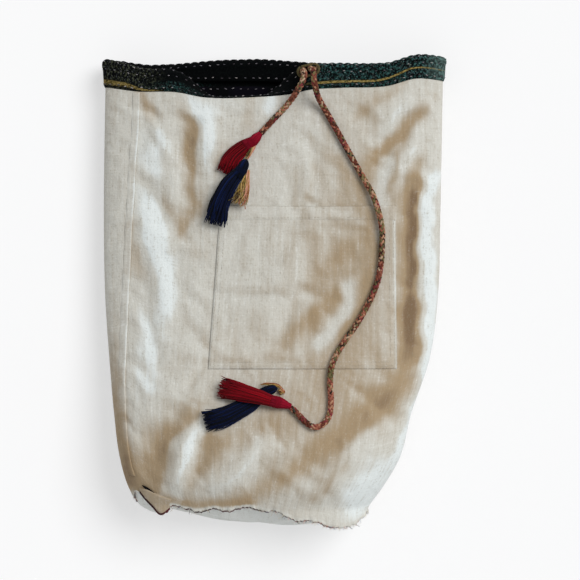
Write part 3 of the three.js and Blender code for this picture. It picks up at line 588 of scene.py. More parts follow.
def stitches(name, middles, ways, outs, lengths, radius, dye, replaces=()):
    """Short rounded stitches, each dipping into the cloth at both ends."""
    middles, ways, outs = (np.asarray(v, float) for v in (middles, ways, outs))
    lengths = np.broadcast_to(lengths, len(middles))
    along = np.array([-0.5, -0.36, 0.0, 0.36, 0.5])
    lift = np.array([-1.0, 0.1, 0.45, 0.1, -1.0]) * radius
    paths = middles[:, None] + ways[:, None] * (along[:, None] * lengths[:, None, None]) + outs[:, None] * lift[:, None]
    points, faces, owner = threads(paths, radius * np.array([0.55, 0.95, 1.0, 0.95, 0.55]), 5, outs[:, None])
    dye = np.broadcast_to(np.asarray(dye, float), (len(middles), 3))
    return piece(name, points, faces, sewing_thread, replaces, dye=dye[owner])


view_middle = (15.2, 0.0)
view_width = 551.0
view_plane = 60.0
camera_rise = 2600.0
camera_data = bpy.data.cameras.new("camera")
camera_data.sensor_width = 36.0
camera_data.lens = 36.0 * (camera_rise - view_plane) / view_width
camera = bpy.data.objects.new("camera", camera_data)
camera.location = (view_middle[0] * MM, view_middle[1] * MM, camera_rise * MM)
bpy.context.scene.collection.objects.link(camera)
bpy.context.scene.camera = camera
bpy.context.scene.view_settings.view_transform = "Standard"

sun_data = bpy.data.lights.new("window_light", "SUN")
sun_data.energy = 2.05
sun_data.angle = 0.6
sun = bpy.data.objects.new("window_light", sun_data)
sun.rotation_euler = Vector((0.5, 0.36, 0.79)).to_track_quat("Z", "Y").to_euler()
bpy.context.scene.collection.objects.link(sun)

world = bpy.data.worlds.new("soft_room")
bpy.context.scene.world = world
world.use_nodes = True
room = world.node_tree.nodes["Background"]
room.inputs["Color"].default_value = (0.97, 0.985, 1.0, 1.0)
room.inputs["Strength"].default_value = 0.42
backdrop = world.node_tree.nodes.new("ShaderNodeBackground")
backdrop.inputs["Color"].default_value = (1.0, 1.0, 1.0, 1.0)
seen = world.node_tree.nodes.new("ShaderNodeLightPath")
either = world.node_tree.nodes.new("ShaderNodeMath")
either.operation = "MAXIMUM"
chosen = world.node_tree.nodes.new("ShaderNodeMixShader")
for source, target in (
    (seen.outputs["Is Camera Ray"], either.inputs[0]), (seen.outputs["Is Glossy Ray"], either.inputs[1]),
    (either.outputs[0], chosen.inputs[0]), (room.outputs[0], chosen.inputs[1]),
    (backdrop.outputs[0], chosen.inputs[2]), (chosen.outputs[0], world.node_tree.nodes["World Output"].inputs[0]),
):
    world.node_tree.links.new(source, target)

bpy.ops.mesh.primitive_plane_add(size=9.0, location=(0, 0, 0))
floor = bpy.context.object
floor.name = "floor"
floor.select_set(False)
floor_paint = Finish("white_floor", Base_Color=(0.98, 0.98, 0.985, 1.0), Roughness=0.9, Specular_IOR_Level=0.0)
rays = [floor_paint.make("LightPath", {}, {}, f"Is {kind} Ray") for kind in ("Camera", "Glossy", "Transmission")]
glow = floor_paint.make("Emission", {}, {"Color": (1.0, 1.0, 1.0, 1.0), "Strength": 1.0})
share = (rays[0] + rays[1] + rays[2]) * 0.52
paint = Wire(floor_paint, floor_paint.shader.outputs[0])
lit_floor = floor_paint.make("MixShader", {}, {0: share, 1: paint, 2: glow})
floor_paint.links.new(lit_floor.socket, floor_paint.nodes["Material Output"].inputs["Surface"])
floor.data.materials.append(floor_paint.material)


def over_front(places):
    """Points at places x, y and height over the front."""
    x, y, rise = np.asarray(places, float)[:, :3].T
    return np.column_stack([x, y, front_height(x, y) + rise])


cord_dyes = dyes_of(
    "#5c3024", "#764234", "#965a48", "#a87a60", "#5c5438", "#736744", "#38261e", "#763036", "#b0947a", "#34342c")
dye_shares = {
    "rust": (0.22, 0.20, 0.15, 0.06, 0.06, 0.04, 0.12, 0.08, 0.05, 0.02),
    "olive": (0.10, 0.10, 0.10, 0.12, 0.16, 0.16, 0.08, 0.02, 0.13, 0.03),
    "salmon": (0.06, 0.14, 0.32, 0.20, 0.04, 0.04, 0.04, 0.03, 0.12, 0.01),
    "dark": (0.28, 0.16, 0.08, 0.05, 0.08, 0.04, 0.19, 0.07, 0.02, 0.03),
}


braid_turn = 19.0
strand_radius = 1.06
strand_reach = 1.82
strand_weave = 0.34


def braid(path, spacing, zones):
    """Eight strands braided round a line. zones gives the dyes along it: (end share, name)."""
    first, second = carried_frames(path)
    along = np.arange(len(path)) * spacing
    turn = along * 2 * np.pi / braid_turn
    strands, radials, dyes = [], [], []
    ends = np.array([end for end, _ in zones])
    for way in (1, -1):
        for start in range(4):
            angle = way * turn + start * np.pi / 2
            reach = strand_reach + way * strand_weave * np.cos(4 * turn)
            radial = first * np.cos(angle)[:, None] + second * np.sin(angle)[:, None]
            strands.append(path + radial * reach[:, None])
            radials.append(radial)
            dye, place = np.zeros((len(path), 3)), 0.0
            while place < along[-1] + 1:
                length = dice.uniform(2.2, 7.0)
                zone = zones[int(np.searchsorted(ends, min(place / along[-1], ends[-1])))][1]
                colour = cord_dyes[dice.choice(len(cord_dyes), p=dye_shares[zone])] * dice.uniform(0.85, 1.12)
                dye[(along >= place) & (along < place + length)] = colour
                place += length
            dyes.append(dye)
    sides = 6
    points, faces, _ = threads(np.array(strands), strand_radius, sides, np.array(radials))
    return points, faces, np.repeat(np.array(dyes).reshape(-1, 3), sides, axis=0)


def free_cord(end, start, route, zones):
    """A free end of the drawcord, with its path and length."""
    path, length = curve_through(np.vstack([start, over_front(route)]), 1.25)
    points, faces, dyes = braid(path, length / (len(path) - 1), zones)
    obj = piece(f"{end}_drawcord", points, faces, cord_yarn, (f"drawcord_{end}_end",), dye=dyes)
    return obj, path, length


cords = {
    "long": free_cord("long", long_start, long_route, [
        (0.1, "dark"), (0.24, "rust"), (0.5, "olive"), (0.62, "rust"), (0.8, "olive"), (0.93, "salmon"), (1.0, "dark"),
    ]),
    "short": free_cord("short", short_start, short_route, [(0.35, "olive"), (0.75, "salmon"), (1.0, "rust")]),
}


def tassel_line(places):
    """Even points of a tassel's middle line, its half width and height there, and its length."""
    line, length = curve_through(over_front(places), 1.0)
    dense, _ = curve_through(np.asarray(places, float)[:, :3] * (1, 1, 0), 1.0)
    keys = [np.argmin(np.hypot(*(dense[:, :2] - np.array(p[:2])).T)) / (len(dense) - 1) for p in places]
    keys[0], keys[-1] = 0.0, 1.0
    return line, follow(np.linspace(0, 1, len(line)), keys, [p[3:5] for p in places]), length


def across_line(line):
    """The level way across a line, and the way over it."""
    tangents = unit(np.gradient(line, axis=0))
    level = unit(np.stack([-tangents[:, 1], tangents[:, 0], np.zeros(len(line))], axis=1))
    return level, np.cross(tangents, level)


def tassel_piece(end, colour, part, points, faces, dye):
    return piece(
        f"{end}_{colour}_tassel_{part}", points, faces, tassel_yarn,
        (f"{end}_end_{colour}_tassel_{part}",), dye=dye, body=f"{end}_end_tassels",
    )


def tassel_skirt(end, colour, places, dyes, count=250, steps=13):
    """A skirt of loose threads that widens from the head to ragged ends."""
    line, halves, length = tassel_line(places)
    level, above = across_line(line)
    share, grow = np.linspace(0, 1, len(line)), np.linspace(0, 1, steps)
    along = np.linspace(head_length - 2.0, length, steps) / length
    radius, angle = np.sqrt(dice.uniform(0, 1, count)), dice.uniform(0, 2 * np.pi, count)
    out, up = radius * np.cos(angle), radius * np.sin(angle)
    ends = dice.uniform(0.86, 1.03, count) - 0.06 * np.abs(out) * dice.uniform(0, 1, count)
    paths, phase = [], dice.uniform(0, 2 * np.pi, (count, 4))
    for i in range(count):
        s = np.clip(along[0] + (along - along[0]) * min((ends[i] - along[0]) / (1 - along[0]), 1.02), 0, 1)
        wide, high = follow(s, share, halves).T - 0.45
        wave = 0.06 * grow * np.sin(grow * 5 + phase[i, 0]) + 0.1 * grow**3 * np.sin(grow * 9 + phase[i, 1])
        lift = 0.07 * grow * np.sin(grow * 6 + phase[i, 2])
        spread = 1.0 + 0.05 * grow**3 * np.sin(phase[i, 3])
        side, rise = (out[i] * spread + wave) * wide, (up[i] + lift) * high
        middle = follow(s, share, line)
        paths.append(middle + follow(s, share, level) * side[:, None] + follow(s, share, above) * rise[:, None])
    points, faces, owner = threads(np.array(paths), np.interp(grow, [0, 0.75, 1], [0.46, 0.46, 0.24]), 4)
    shade = dice.uniform(0.55, 1.15, count)[:, None] * dyes[dice.integers(0, len(dyes), count)]
    return tassel_piece(end, colour, "skirt", points, faces, shade[owner])


def tassel_head(end, colour, places, dyes, before, count=34, steps=13, turns=9, neck=(9.2, 14.4)):
    """Doubled threads over the cord's end, bound by a wound thread at the neck."""
    line, halves, _ = tassel_line(places)
    if before:
        line = np.vstack([line[0] + unit(line[0] - line[1]) * before, line])
        halves = np.vstack([halves[0], halves])
    reached = line_lengths(line) - before
    table = np.hstack([line, *across_line(line), halves])

    def at(distance):
        return np.split(follow(distance, reached, table), [3, 6, 9], axis=1)

    angle = (np.arange(count) * 2 * np.pi / count)[:, None]
    distance = np.linspace(0.1 - before, head_length + 1.5, steps)
    if before:
        closing = 0.82 + 0.18 * smooth(-before, 4, distance)
    else:
        closing = np.sqrt(np.clip(1 - (1 - np.clip(distance / 5.0, 0, 1)) ** 2, 0.03, 1))
    middle, level, above, size = at(distance)
    paths = middle[None] + (
        level[None] * ((size[:, 0] - 0.5) * closing * np.cos(angle))[..., None]
        + above[None] * ((size[:, 1] - 0.5) * closing * np.sin(angle))[..., None]
    )
    points, faces, owner = threads(paths, 0.62, 5)
    darker = np.repeat(np.interp(distance, [0, 7, 10], [1.0, 1.0, 0.7]), 5)
    shade = picked(dyes, count, 0.7, 1.15)[owner] * np.tile(darker, count)[:, None]
    wind = np.linspace(0, 1, turns * 18)
    angle = wind * turns * 2 * np.pi
    middle, level, above, size = at(neck[0] + (neck[1] - neck[0]) * wind)
    loop = middle + level * (size[:, 0] * np.cos(angle))[:, None] + above * (size[:, 1] * np.sin(angle))[:, None]
    bind_points, bind_faces, _ = threads(loop[None], 0.42, 5, unit(loop - middle)[None])
    dye = np.vstack([shade, np.tile(dyes[0] * 0.8, (len(bind_points), 1))])
    faces += [group + len(points) for group in bind_faces]
    return tassel_piece(end, colour, "head", np.vstack([points, bind_points]), faces, dye)


def frayed_fibres(places, count, climb=0.0):
    """Lines of loose fibres along a bunch, and the side of the bunch that each lies on."""
    line, halves, _ = tassel_line(places)
    level, _ = across_line(line)
    share, grow = np.linspace(0, 1, len(line)), np.linspace(0, 1, 9)
    spots = dice.uniform(-1, 1, (count, 2))
    ends = dice.uniform(0.55, 1.0, count)
    phase = dice.uniform(0, 2 * np.pi, (count, 2))
    paths = []
    for i in range(count):
        s = grow * ends[i]
        wide, high = follow(s, share, halves).T - 0.35
        side = np.clip(spots[i, 0] + (0.12 + 0.3 * grow) * np.sin(grow * 7 + phase[i, 0]), -1.2, 1.2) * wide
        rise = np.clip(spots[i, 1] + 0.25 * np.sin(grow * 9 + phase[i, 1]), -1, 1) * high
        rise += climb * grow * max(0, -spots[i, 0])
        up = np.array([0, 0, 1.0]) * rise[:, None]
        paths.append(follow(s, share, line) + follow(s, share, level) * side[:, None] + up)
    return np.array(paths), spots[:, 0]


def frayed_tip(end, bunches):
    """Loose fibres of the cord beside the tassels in mixed dyes, with painted shade: salmon on the side towards the
    light and dark on the other.
    """
    paths, sides = (np.concatenate(v) for v in zip(*(frayed_fibres(*bunch) for bunch in bunches)))
    count = len(paths)
    points, faces, owner = threads(paths, np.linspace(0.36, 0.24, paths.shape[1]), 4)
    dyes = dyes_of("#4a3626", "#6b5f34", "#9a7c3c", "#bf9c58", "#c9ab74", "#b9744e", "#c97f66", "#d79a84")
    # paler salmon dyes on the side towards the light, darker ones on the side away: partly painted shade, partly random
    # dye mixing
    chosen = np.clip(np.round((0.5 + 0.42 * sides) * 7 + dice.normal(0, 2.1, count)), 0, 7).astype(int)
    shade = dyes[chosen] * dice.uniform(0.75, 1.1, count)[:, None]
    return piece(
        f"{end}_frayed_tip", points, faces, tassel_yarn, (f"{end}_end_frayed_tip",),
        dye=shade[owner], body=f"{end}_end_tassels",
    )


red_dyes = dyes_of("#800714", "#6a0410", "#8e0b1a", "#40030a", "#760612")
head_dyes = dyes_of("#7e0a20", "#6e081a", "#8e1028")
navy_dyes = dyes_of("#060d24", "#040916", "#081334", "#02040b", "#0c1c46")
round_head = [
    (9.5, -96.5, 4.6, 1.6, 1.4), (5, -90.6, 5, 1.7, 1.4), (-4, -88.6, 5.4, 1.6, 1.3), (-13, -88.8, 5.4, 1.2, 1.0),
]
fan = [(-25.5, 114, 9.5, 2.4, 2.2), (-27, 102, 10, 3.6, 2.2), (-30.5, 90, 11, 6, 2.2), (-35, 79.5, 10.5, 8.5, 2)]
beside_red = [
    (-15.4, 143.2, 4.8, 0.9, 0.9), (-19.2, 136.4, 5.8, 1.8, 1.2), (-23.2, 129.4, 7.8, 2.2, 1.4),
    (-26.4, 123, 9.8, 2.0, 1.4),
]
for end, before, red, navy, bunches in (
    ("long", 2.6, long_red, long_navy, [(long_tip, 30), (round_head, 34)]),
    ("short", 0.7, short_red, short_navy, [(fan, 170, 3.6), (beside_red, 40)]),
):
    cord, path, length = cords[end]
    tuple(path[0] * MM)
    length * MM
    (path * MM).tolist()
    tassel_head(end, "red", red, head_dyes, before)
    tassel_skirt(end, "red", red, red_dyes)
    tassel_head(end, "navy", navy, navy_dyes, 0.0)
    tassel_skirt(end, "navy", navy, navy_dyes)
    frayed_tip(end, bunches)

# Main folds of the front, as in the part's source: half breadth, then places x, y with the rise at each
main_folds = [
    (10, (-74, -124, 0), (-80, -137, 3.4), (-86, -152, 5), (-90, -172, 4.4), (-93, -194, 0)),
    (16, (-84, -106, 0), (-92, -118, -3.4), (-112, -140, -5.4), (-116, -165, -4.6), (-114, -190, 0)),
    (9, (-58, -134, 0), (-66, -148, -3.6), (-75, -171, -4), (-84, -192, 0)),
    (11, (2, -136, 0), (-14, -148, 2.6), (-37, -171, 3.4), (-56, -190, 2), (-62, -198, 0)),
    (10, (16, -150, 0), (-4, -172, -2.6), (-22, -194, -1)),
    (15, (112, -92, 0), (102, -112, -3.2), (62, -136, -3.8), (31, -160, -3), (18, -180, 0)),
    (12, (122, -106, 0), (96, -126, 2.4), (74, -148, 3), (54, -178, 1.8), (48, -192, 0)),
    (9, (134, 112, 0), (129, 70, -2.6), (128, 0, -2.8), (124, -50, -2.4), (118, -88, 0)),
    (10, (152, 184, 0), (138, 170, -3), (118, 148, -3.4), (99, 129, -2.6), (94, 110, 0)),
    (9, (158, 160, 0), (138, 146, 2.4), (122, 124, 2.6), (111, 98, 1.4), (108, 86, 0)),
    (10, (-68, 184, 0), (-67, 168, 2), (-64, 142, 2.4), (-62, 120, 0)),
    (11, (-94, 176, 0), (-86, 150, -2.6), (-82, 110, -3), (-81, 70, -2.4), (-80, 40, 0)),
    (11, (-136, 118, 0), (-118, 92, -2.6), (-100, 64, -2.4), (-92, 44, 0)),
    (12, (-130, 84, 0), (-118, 48, 2), (-108, 4, 2.2), (-104, -40, 0)),
]
# Smaller creases, in the same form
creases = [
    (4.5, (-127, 186, 0), (-120, 176, -1.5), (-112, 164, -1.8), (-106, 158, 0)),
    (5, (-120, 170, 0), (-112, 150, 1.2), (-104, 132, 1.2), (-100, 120, 0)),
    (4, (136, 118, 0), (143, 108, 1.2), (152, 100, 0)),
    (3.5, (138, 60, 0), (146, 67, -1.2), (152, 74, 0)),
    (5, (84, 190, 0), (80, 172, -0.9), (72, 150, -0.9), (70, 140, 0)),
    (5, (34, 150, 0), (38, 120, -0.9), (39, 90, 0)),
    (7, (-6, 174, 0), (-10, 150, 0.5), (-16, 120, 0.4), (-18, 96, 0)),
    (5, (-62, -64, 0), (-78, -88, -1.2), (-92, -102, 0)),
    (5, (-126, -4, 0), (-116, -40, -1), (-108, -84, 0)),
    (4, (-92, -142, 0), (-99, -150, 1.3), (-103, -166, 0)),
    (5, (24, -138, 0), (6, -160, 0.8), (-12, -186, 0)),
    (6, (40, -142, 0), (16, -168, -1.2), (0, -196, 0)),
]


def distance_to(x, y, line):
    """How far places are from a broken line, its third value at the nearest point, and the side, above 0 right."""
    line = np.asarray(line, float)
    best, value, side = np.full(np.shape(x), 1e9), np.zeros(np.shape(x)), np.zeros(np.shape(x))
    for start, part in zip(line[:-1], np.diff(line, axis=0)):
        share = np.clip(((x - start[0]) * part[0] + (y - start[1]) * part[1]) / (part[0] ** 2 + part[1] ** 2), 0, 1)
        gap = np.hypot(x - start[0] - share * part[0], y - start[1] - share * part[1])
        value = np.where(gap < best, start[2] + share * part[2], value)
        side = np.where(gap < best, (x - start[0]) * part[1] - (y - start[1]) * part[0], side)
        best = np.minimum(gap, best)
    return best, value, side


def fold_height(x, y, table):
    centre, half, _, _ = station(y)
    down = (edge_y - y) / body_length
    fade = smooth(0.03, 0.08, down) * (1 - smooth(0.93, 0.985, down))
    fade = fade * (1 - smooth(0.78, 0.96, np.abs((x - centre) / half)))
    height = np.zeros(np.shape(x))
    for breadth, *line in table:
        gap, rise, _ = distance_to(x, y, line)
        height += rise * np.exp(-((gap / breadth) ** 2))
    return height * fade


pressed_lines = [cords["long"][1], cords["short"][1]]
pressed_lines += [over_front(p) for p in (long_red, long_navy, short_red, short_navy, short_tip)]


def free_of_cords(x, y):
    """0 under the cords and tassels, rising to 1 away from them."""
    nearest = np.full(np.shape(x), 1e9)
    for line in pressed_lines:
        nearest = np.minimum(nearest, distance_to(x, y, line)[0])
    return smooth(5, 24, nearest)


def grid_normals(grid):
    around = np.roll(grid, -1, axis=1) - np.roll(grid, 1, axis=1)
    return unit(np.cross(around, np.gradient(grid, axis=0)))


wall_columns, wall_rows = 176, 112
wall_turns = turns_from_back(wall_columns)
rim_y, end_y = rim_frame(wall_turns)[3], wall_end(wall_turns)[0]
shares = np.linspace(0, 1, wall_rows)[:, None]
ys = rim_y[None] + (end_y - rim_y)[None] * shares
smooth_wall = wall_point(np.broadcast_to(wall_turns, ys.shape), ys)
wx, wy, wz = np.moveaxis(smooth_wall, -1, 0)
normals = grid_normals(smooth_wall)
_, _, crown_height, side_height = station(ys)
in_front = smooth(0.3, 0.75, (wz - underside) / (crown_height - underside))
at_ends = smooth(0, 0.05, shares) * (1 - smooth(0.965, 1.0, shares))
loose = free_of_cords(wx, wy) * at_ends * in_front
small = fold_height(wx, wy, creases)
small += 0.5 * np.sin(wx / 15.0 + 0.8 * np.sin(wy / 60.0)) * smooth(60, 170, wy)
relief = fold_height(wx, wy, main_folds) * np.where(wz > side_height, 1.0, 0.0) + small * loose
wall = smooth_wall + normals * relief[..., None]

# Painted shading strokes of the cloth: painted shade where the strength is above 0, among them the soft shadows beside
# the cord and a tassel, and painted highlight where it is below 0: half breadth, then places x, y with the strength at
# each
painted_light_strokes = [
    ((3, 12), (-70, -116, 0.35), (-97, -139, 0.55), (-103, -154, 0.5), (-107, -171, 0.45), (-107, -190, 0.4)),
    (17, (-120, -146, 0.5), (-127, -166, 0.8), (-126, -192, 0.8)),
    ((8, 4), (-69, -127, -0.45), (-82, -147, -0.5), (-85, -166, -0.5), (-91, -190, -0.4)),
    ((10, 3), (-65, -138, 0.35), (-82, -168, 0.4), (-87, -194, 0.35)),
    (16, (-48, -140, 0.2), (0, -126, 0.2)),
    (8, (-46, -146, 0.25), (-63, -165, 0.3), (-79, -182, 0.25)),
    ((6, 4), (-14, -143, -0.35), (-32, -171, -0.45), (-58, -190, -0.35)),
    (10, (-34, -196, 0.35), (-8, -188, 0.4), (20, -168, 0.3)),
    ((6, 8), (-100, -199, 0.5), (-50, -203, 0.6), (-26, -199, 0.5)),
    ((6, 4), (-131, 194, 0.5), (-122, 172, 0.6), (-110, 156, 0.45)),
    ((3, 13), (-80, 176, 0.3), (-76, 164, 0.6), (-77, 140, 0.85), (-80, 112, 0.6), (-76, 86, 0.45), (-84, 58, 0.4),
     (-92, 40, 0.2)),
    ((10, 4), (-135, 113, 0.2), (-115, 97, 0.3), (-100, 76, 0.32), (-89, 54, 0.26), (-77, 34, 0.15)),
    ((9, 4), (-86, 188, -0.4), (-78, 176, -0.6), (-66, 156, -0.7), (-65, 129, -0.65), (-63, 105, -0.5),
     (-68, 87, -0.35)),
    (15, (-116, 150, -0.4), (-118, 57, -0.7), (-108, 26, -0.75), (-104, 0, -0.6), (-116, -50, -0.55),
     (-120, -90, -0.4)),
    (8, (-133, 63, 0.4), (-133, 26, 0.4), (-115, 8, 0.25)),
    (8, (-24, 190, 0.5), (-22, 174, 0.5), (-24, 156, 0.25)),
    (5, (-3, 188, -0.4), (-4, 168, -0.35)),
    ((5, 9), (124, 196, 0.3), (98, 180, 0.3), (82, 164, 0.2)),
    (7, (48, 172, 0.2), (54, 150, 0.2)),
    (14, (-60, 178, -0.3), (-10, 176, -0.3)),
    (9, (-158, 190, 0.15), (-158, 120, -0.1), (-158, 20, -0.15), (-156, -30, 0.15), (-148, -130, 0.75),
     (-140, -180, 0.7)),
    ((5, 10), (150, 182, 0.2), (137, 164, 0.55), (118, 143, 0.6), (99, 129, 0.65), (91, 113, 0.45), (88, 98, 0.2)),
    ((3, 15), (144, 132, 0.2), (140, 112, 0.8), (136, 90, 1.15), (134, 57, 1.2), (133, 20, 1.1), (134, -8, 0.8),
     (138, -60, 0.5)),
    ((9, 5), (152, 110, -0.7), (146, 87, -0.8), (143, 57, -0.9), (147, 20, -0.9), (149, -44, -0.9), (144, -87, -0.8),
     (130, -124, -0.7), (114, -160, -0.6)),
    (6, (128, 180, -0.2), (120, 171, -0.5), (108, 154, -0.45), (98, 142, -0.2)),
    (5, (113, 124, -0.4), (104, 111, -0.5), (103, 84, -0.4)),
    (4, (133, 135, -0.4), (124, 114, -0.4)),
    (4, (124, 144, 0.1), (120, 130, 0.35), (112, 104, 0.3), (109, 92, 0.1)),
    (6, (-50, 142, 0.3), (-55, 118, 0.5), (-65, 92, 0.5), (-70, 74, 0.3)),
    ((4, 9), (62, 128, 0.25), (88, 84, 0.3), (97, 38, 0.4), (91, -9, 0.4), (66, -44, 0.35)),
    (4, (37, 117, 0.25), (34, 87, 0.25)),
    (12, (76, 45, 0.2), (56, 27, 0.25), (43, 9, 0.2)),
    (10, (56, -7, 0.4), (39, -25, 0.45), (22, -40, 0.4), (4, -54, 0.3)),
    (7, (72, 2, -0.65), (66, -24, -0.7), (42, -51, -0.6)),
    (13, (126, -20, 0.6), (126, -64, 0.6), (118, -95, 0.6), (93, -117, 0.55), (71, -135, 0.55), (44, -150, 0.45),
     (20, -172, 0.3)),
    (20, (108, -92, 0.2), (92, -108, 0.15)),
    ((4, 8), (96, -132, -0.25), (76, -148, -0.3)),
    (7, (64, -168, 0.3), (47, -188, 0.35), (35, -199, 0.3)),
    (20, (100, -172, -0.7), (78, -202, -0.7)),
    (60, (60, 20, 0.16), (60, -110, 0.24), (-20, -160, 0.2)),
    (46, (92, 150, 0.2), (76, 60, 0.3), (70, -60, 0.32), (30, -96, 0.26), (-30, -80, 0.2)),
]


def front_normal(x, y):
    slope_x = (front_height(x + 1, y) - front_height(x - 1, y)) / 2
    slope_y = (front_height(x, y + 2) - front_height(x, y - 2)) / 4
    return unit(np.stack([-slope_x, -slope_y, np.ones_like(slope_x)], axis=-1))


def painted_light_mask(x, y, relief, outs):
    """Painted shading of the cloth: painted shade in its hollows, in broad places and on fold sides towards its lower
    left, away from the light, and painted highlight where the strokes are below 0.
    """
    turned = outs - front_normal(x, y)
    away = -turned[..., 0] * 0.8 - turned[..., 1] * 0.6
    mask = 0.14 + 0.9 * np.clip(away, -0.25, 0.4) - np.clip(relief / 6.0, -0.8, 0.8) * 0.2
    sway = np.sin(y / 6.1 + 1.3 * np.sin(x / 9.7)), np.sin(x / 7.3 + 1.1 * np.sin(y / 10.3))
    x, y = x + 1.7 * sway[0], y + 1.7 * sway[1]
    for breadth, *line in painted_light_strokes:
        gap, strength, side = distance_to(x, y, line)
        left, right = breadth if isinstance(breadth, tuple) else (breadth, breadth)
        mask = mask + strength * np.exp(-((gap / np.where(side > 0, right, left)) ** 2))
    return np.clip(mask, -0.6, 1.5)


faces, corners = grid_faces(wall_rows, wall_columns)
wall_uv = np.stack([
    corners[..., 1] / wall_columns * mouth_girth, body_length - body_length * corners[..., 0] / (wall_rows - 1),
], axis=-1) * MM
canvas = piece("canvas_body", wall, [faces], canvas_linen, ("canvas_wall",), uv=wall_uv)


cloth_frames = 22
cloth_reach = 4.0


def settle(obj, held, rest):
    """Lets the cloth buckle a little between what holds it, and keeps its creases, not its swelling."""
    shape = rest.shape
    group = obj.vertex_groups.new(name="held")
    for level in np.unique(np.round(held, 2)):
        chosen = np.nonzero(np.round(held, 2) == level)[0].tolist()
        group.add(chosen, float(level), "REPLACE")
    cloth = obj.modifiers.new("Cloth", "CLOTH")
    for key, value in {
        "vertex_group_mass": "held", "pin_stiffness": 0.6, "quality": 5, "mass": 0.2, "air_damping": 3.0,
        "tension_stiffness": 12, "compression_stiffness": 12, "shear_stiffness": 4, "bending_stiffness": 2.5,
        "shrink_min": -0.016,
    }.items():
        setattr(cloth.settings, key, value)
    cloth.settings.effector_weights.gravity = 0.0
    cloth.point_cache.frame_start, cloth.point_cache.frame_end = 1, cloth_frames
    for number in range(1, cloth_frames + 1):
        bpy.context.scene.frame_set(number)
    apply_live(obj, cloth)
    bpy.context.scene.frame_set(1)
    settled = np.empty(len(obj.data.vertices) * 3)
    obj.data.vertices.foreach_get("co", settled)
    moved = settled.reshape(shape) / MM - rest
    far = np.linalg.norm(moved, axis=2, keepdims=True)
    moved = moved * np.minimum(1, cloth_reach / np.maximum(far, 1e-6))
    broad = moved
    spread = np.exp(-np.linspace(-2, 2, 21) ** 2)
    for axis, mode in ((0, "edge"), (1, "wrap")):
        padded = np.pad(broad, [(10, 10) if a == axis else (0, 0) for a in range(3)], mode=mode)
        parts = [np.take(padded, np.arange(k, k + shape[axis]), axis=axis) * w for k, w in enumerate(spread)]
        broad = sum(parts) / spread.sum()
    settled = rest + (moved - 0.85 * broad * (1 - held.reshape(shape[:2]))[..., None]) * 0.6
    obj.data.vertices.foreach_set("co", (settled * MM).ravel())
    obj.vertex_groups.clear()
    return settled


held = 1 - 0.86 * (loose * (1 - smooth(0.9, 1.0, np.abs(np.gradient(loose, axis=0))))).ravel()
held = np.where(np.broadcast_to(at_ends, loose.shape).ravel() < 0.05, 1.0, held)
wall = settle(canvas, held, wall)

rise_here = np.einsum("ijk,ijk->ij", wall - smooth_wall, normals)
# Painted shading of the canvas, from its fold slopes and the strokes, fading out down its sides
tan = painted_light_mask(wall[..., 0], wall[..., 1], rise_here, grid_normals(wall))
tan = tan * smooth(0.1, 0.45, (wall[..., 2] - underside) / (crown_height - underside))
canvas.data.attributes.new("tan", "FLOAT", "POINT").data.foreach_set("value", tan.ravel())
apply_modifier(canvas, "SUBSURF", levels=1, render_levels=1)
ground = BVHTree.FromObject(canvas, bpy.context.evaluated_depsgraph_get())
canvas.vertex_groups.new(name="inner")
apply_modifier(
    canvas, "SOLIDIFY", thickness=canvas_thickness * MM, offset=-1.0, use_even_offset=False,
    shell_vertex_group="inner",
)
# The canvas's inner face lies unseen behind the lining, so it needs fewer faces
apply_modifier(canvas, "DECIMATE", ratio=0.62, vertex_group="inner")
canvas.vertex_groups.clear()


def on_front(x, y, rise):
    """Points over the settled canvas at places of the front, and the canvas' normals there."""
    x, y, rise = np.broadcast_arrays(np.asarray(x, float), np.asarray(y, float), np.asarray(rise, float))
    points, outs = np.zeros(x.shape + (3,)), np.zeros(x.shape + (3,))
    for i in np.ndindex(x.shape):
        hit, normal, _, _ = ground.ray_cast(Vector((x[i] * MM, y[i] * MM, 0.3)), Vector((0, 0, -1)))
        normal = normal if normal.z > 0 else -normal
        outs[i] = normal
        points[i] = np.array(hit) / MM + np.array(normal) * rise[i]
    return points, outs


lining_gap = 0.35
lining_tuck = 3.6
lining_thickness = 1.3
inner = wall - grid_normals(wall) * (canvas_thickness + lining_gap)
inner[-1] += np.array([0, lining_tuck, 0])
lining = piece("quilted_lining", inner, [faces], lining_cloth, ("lining_wall",), uv=wall_uv)
thicken(lining, lining_thickness)

running_dyes = dyes_of("#8f8a8c", "#6f6a70", "#57555b", "#a39c9a", "#4a4448")


def grid_stitches(name, grid, outs, spots, step, length, radius, dyes):
    """Rows of running stitch on a grid. spots are its rows, whole or between two."""
    columns = grid.shape[1]
    middles, ways, faces_out, shades = [], [], [], []
    for number, row in enumerate(spots):
        low, share = int(row), row - int(row)
        line = grid[low] * (1 - share) + grid[min(low + 1, len(grid) - 1)] * share
        places = np.arange((number % 2) * step / 2, columns, step)
        places = places + dice.uniform(-0.12, 0.12, len(places)) * step
        here = places.astype(int)
        part = (places - here)[:, None]
        here, there = here % columns, (here + 1) % columns
        out = outs[low][here]
        way = unit(line[(here + 1) % columns] - line[here - 1])
        level = np.cross(out, way)
        middles.append(line[here] * (1 - part) + line[there] * part + level * dice.normal(0, 0.3, (len(places), 1)))
        ways.append(unit(way + level * dice.normal(0, 0.28, (len(places), 1))))
        faces_out.append(out)
        shades.append(picked(dyes, len(places), 0.7, 1.1))
    middles, ways, faces_out, shades = (np.concatenate(v) for v in (middles, ways, faces_out, shades))
    lengths = length * dice.uniform(0.8, 1.15, len(middles))
    return stitches(name, middles, ways, faces_out, lengths, radius, shades)


inside_face = inner - grid_normals(inner) * lining_thickness
grid_stitches(
    "lining_running_stitches", inside_face, -grid_normals(inner), np.arange(0.6, 70, 2.5), 1.9, 2.3, 0.5, running_dyes,
)


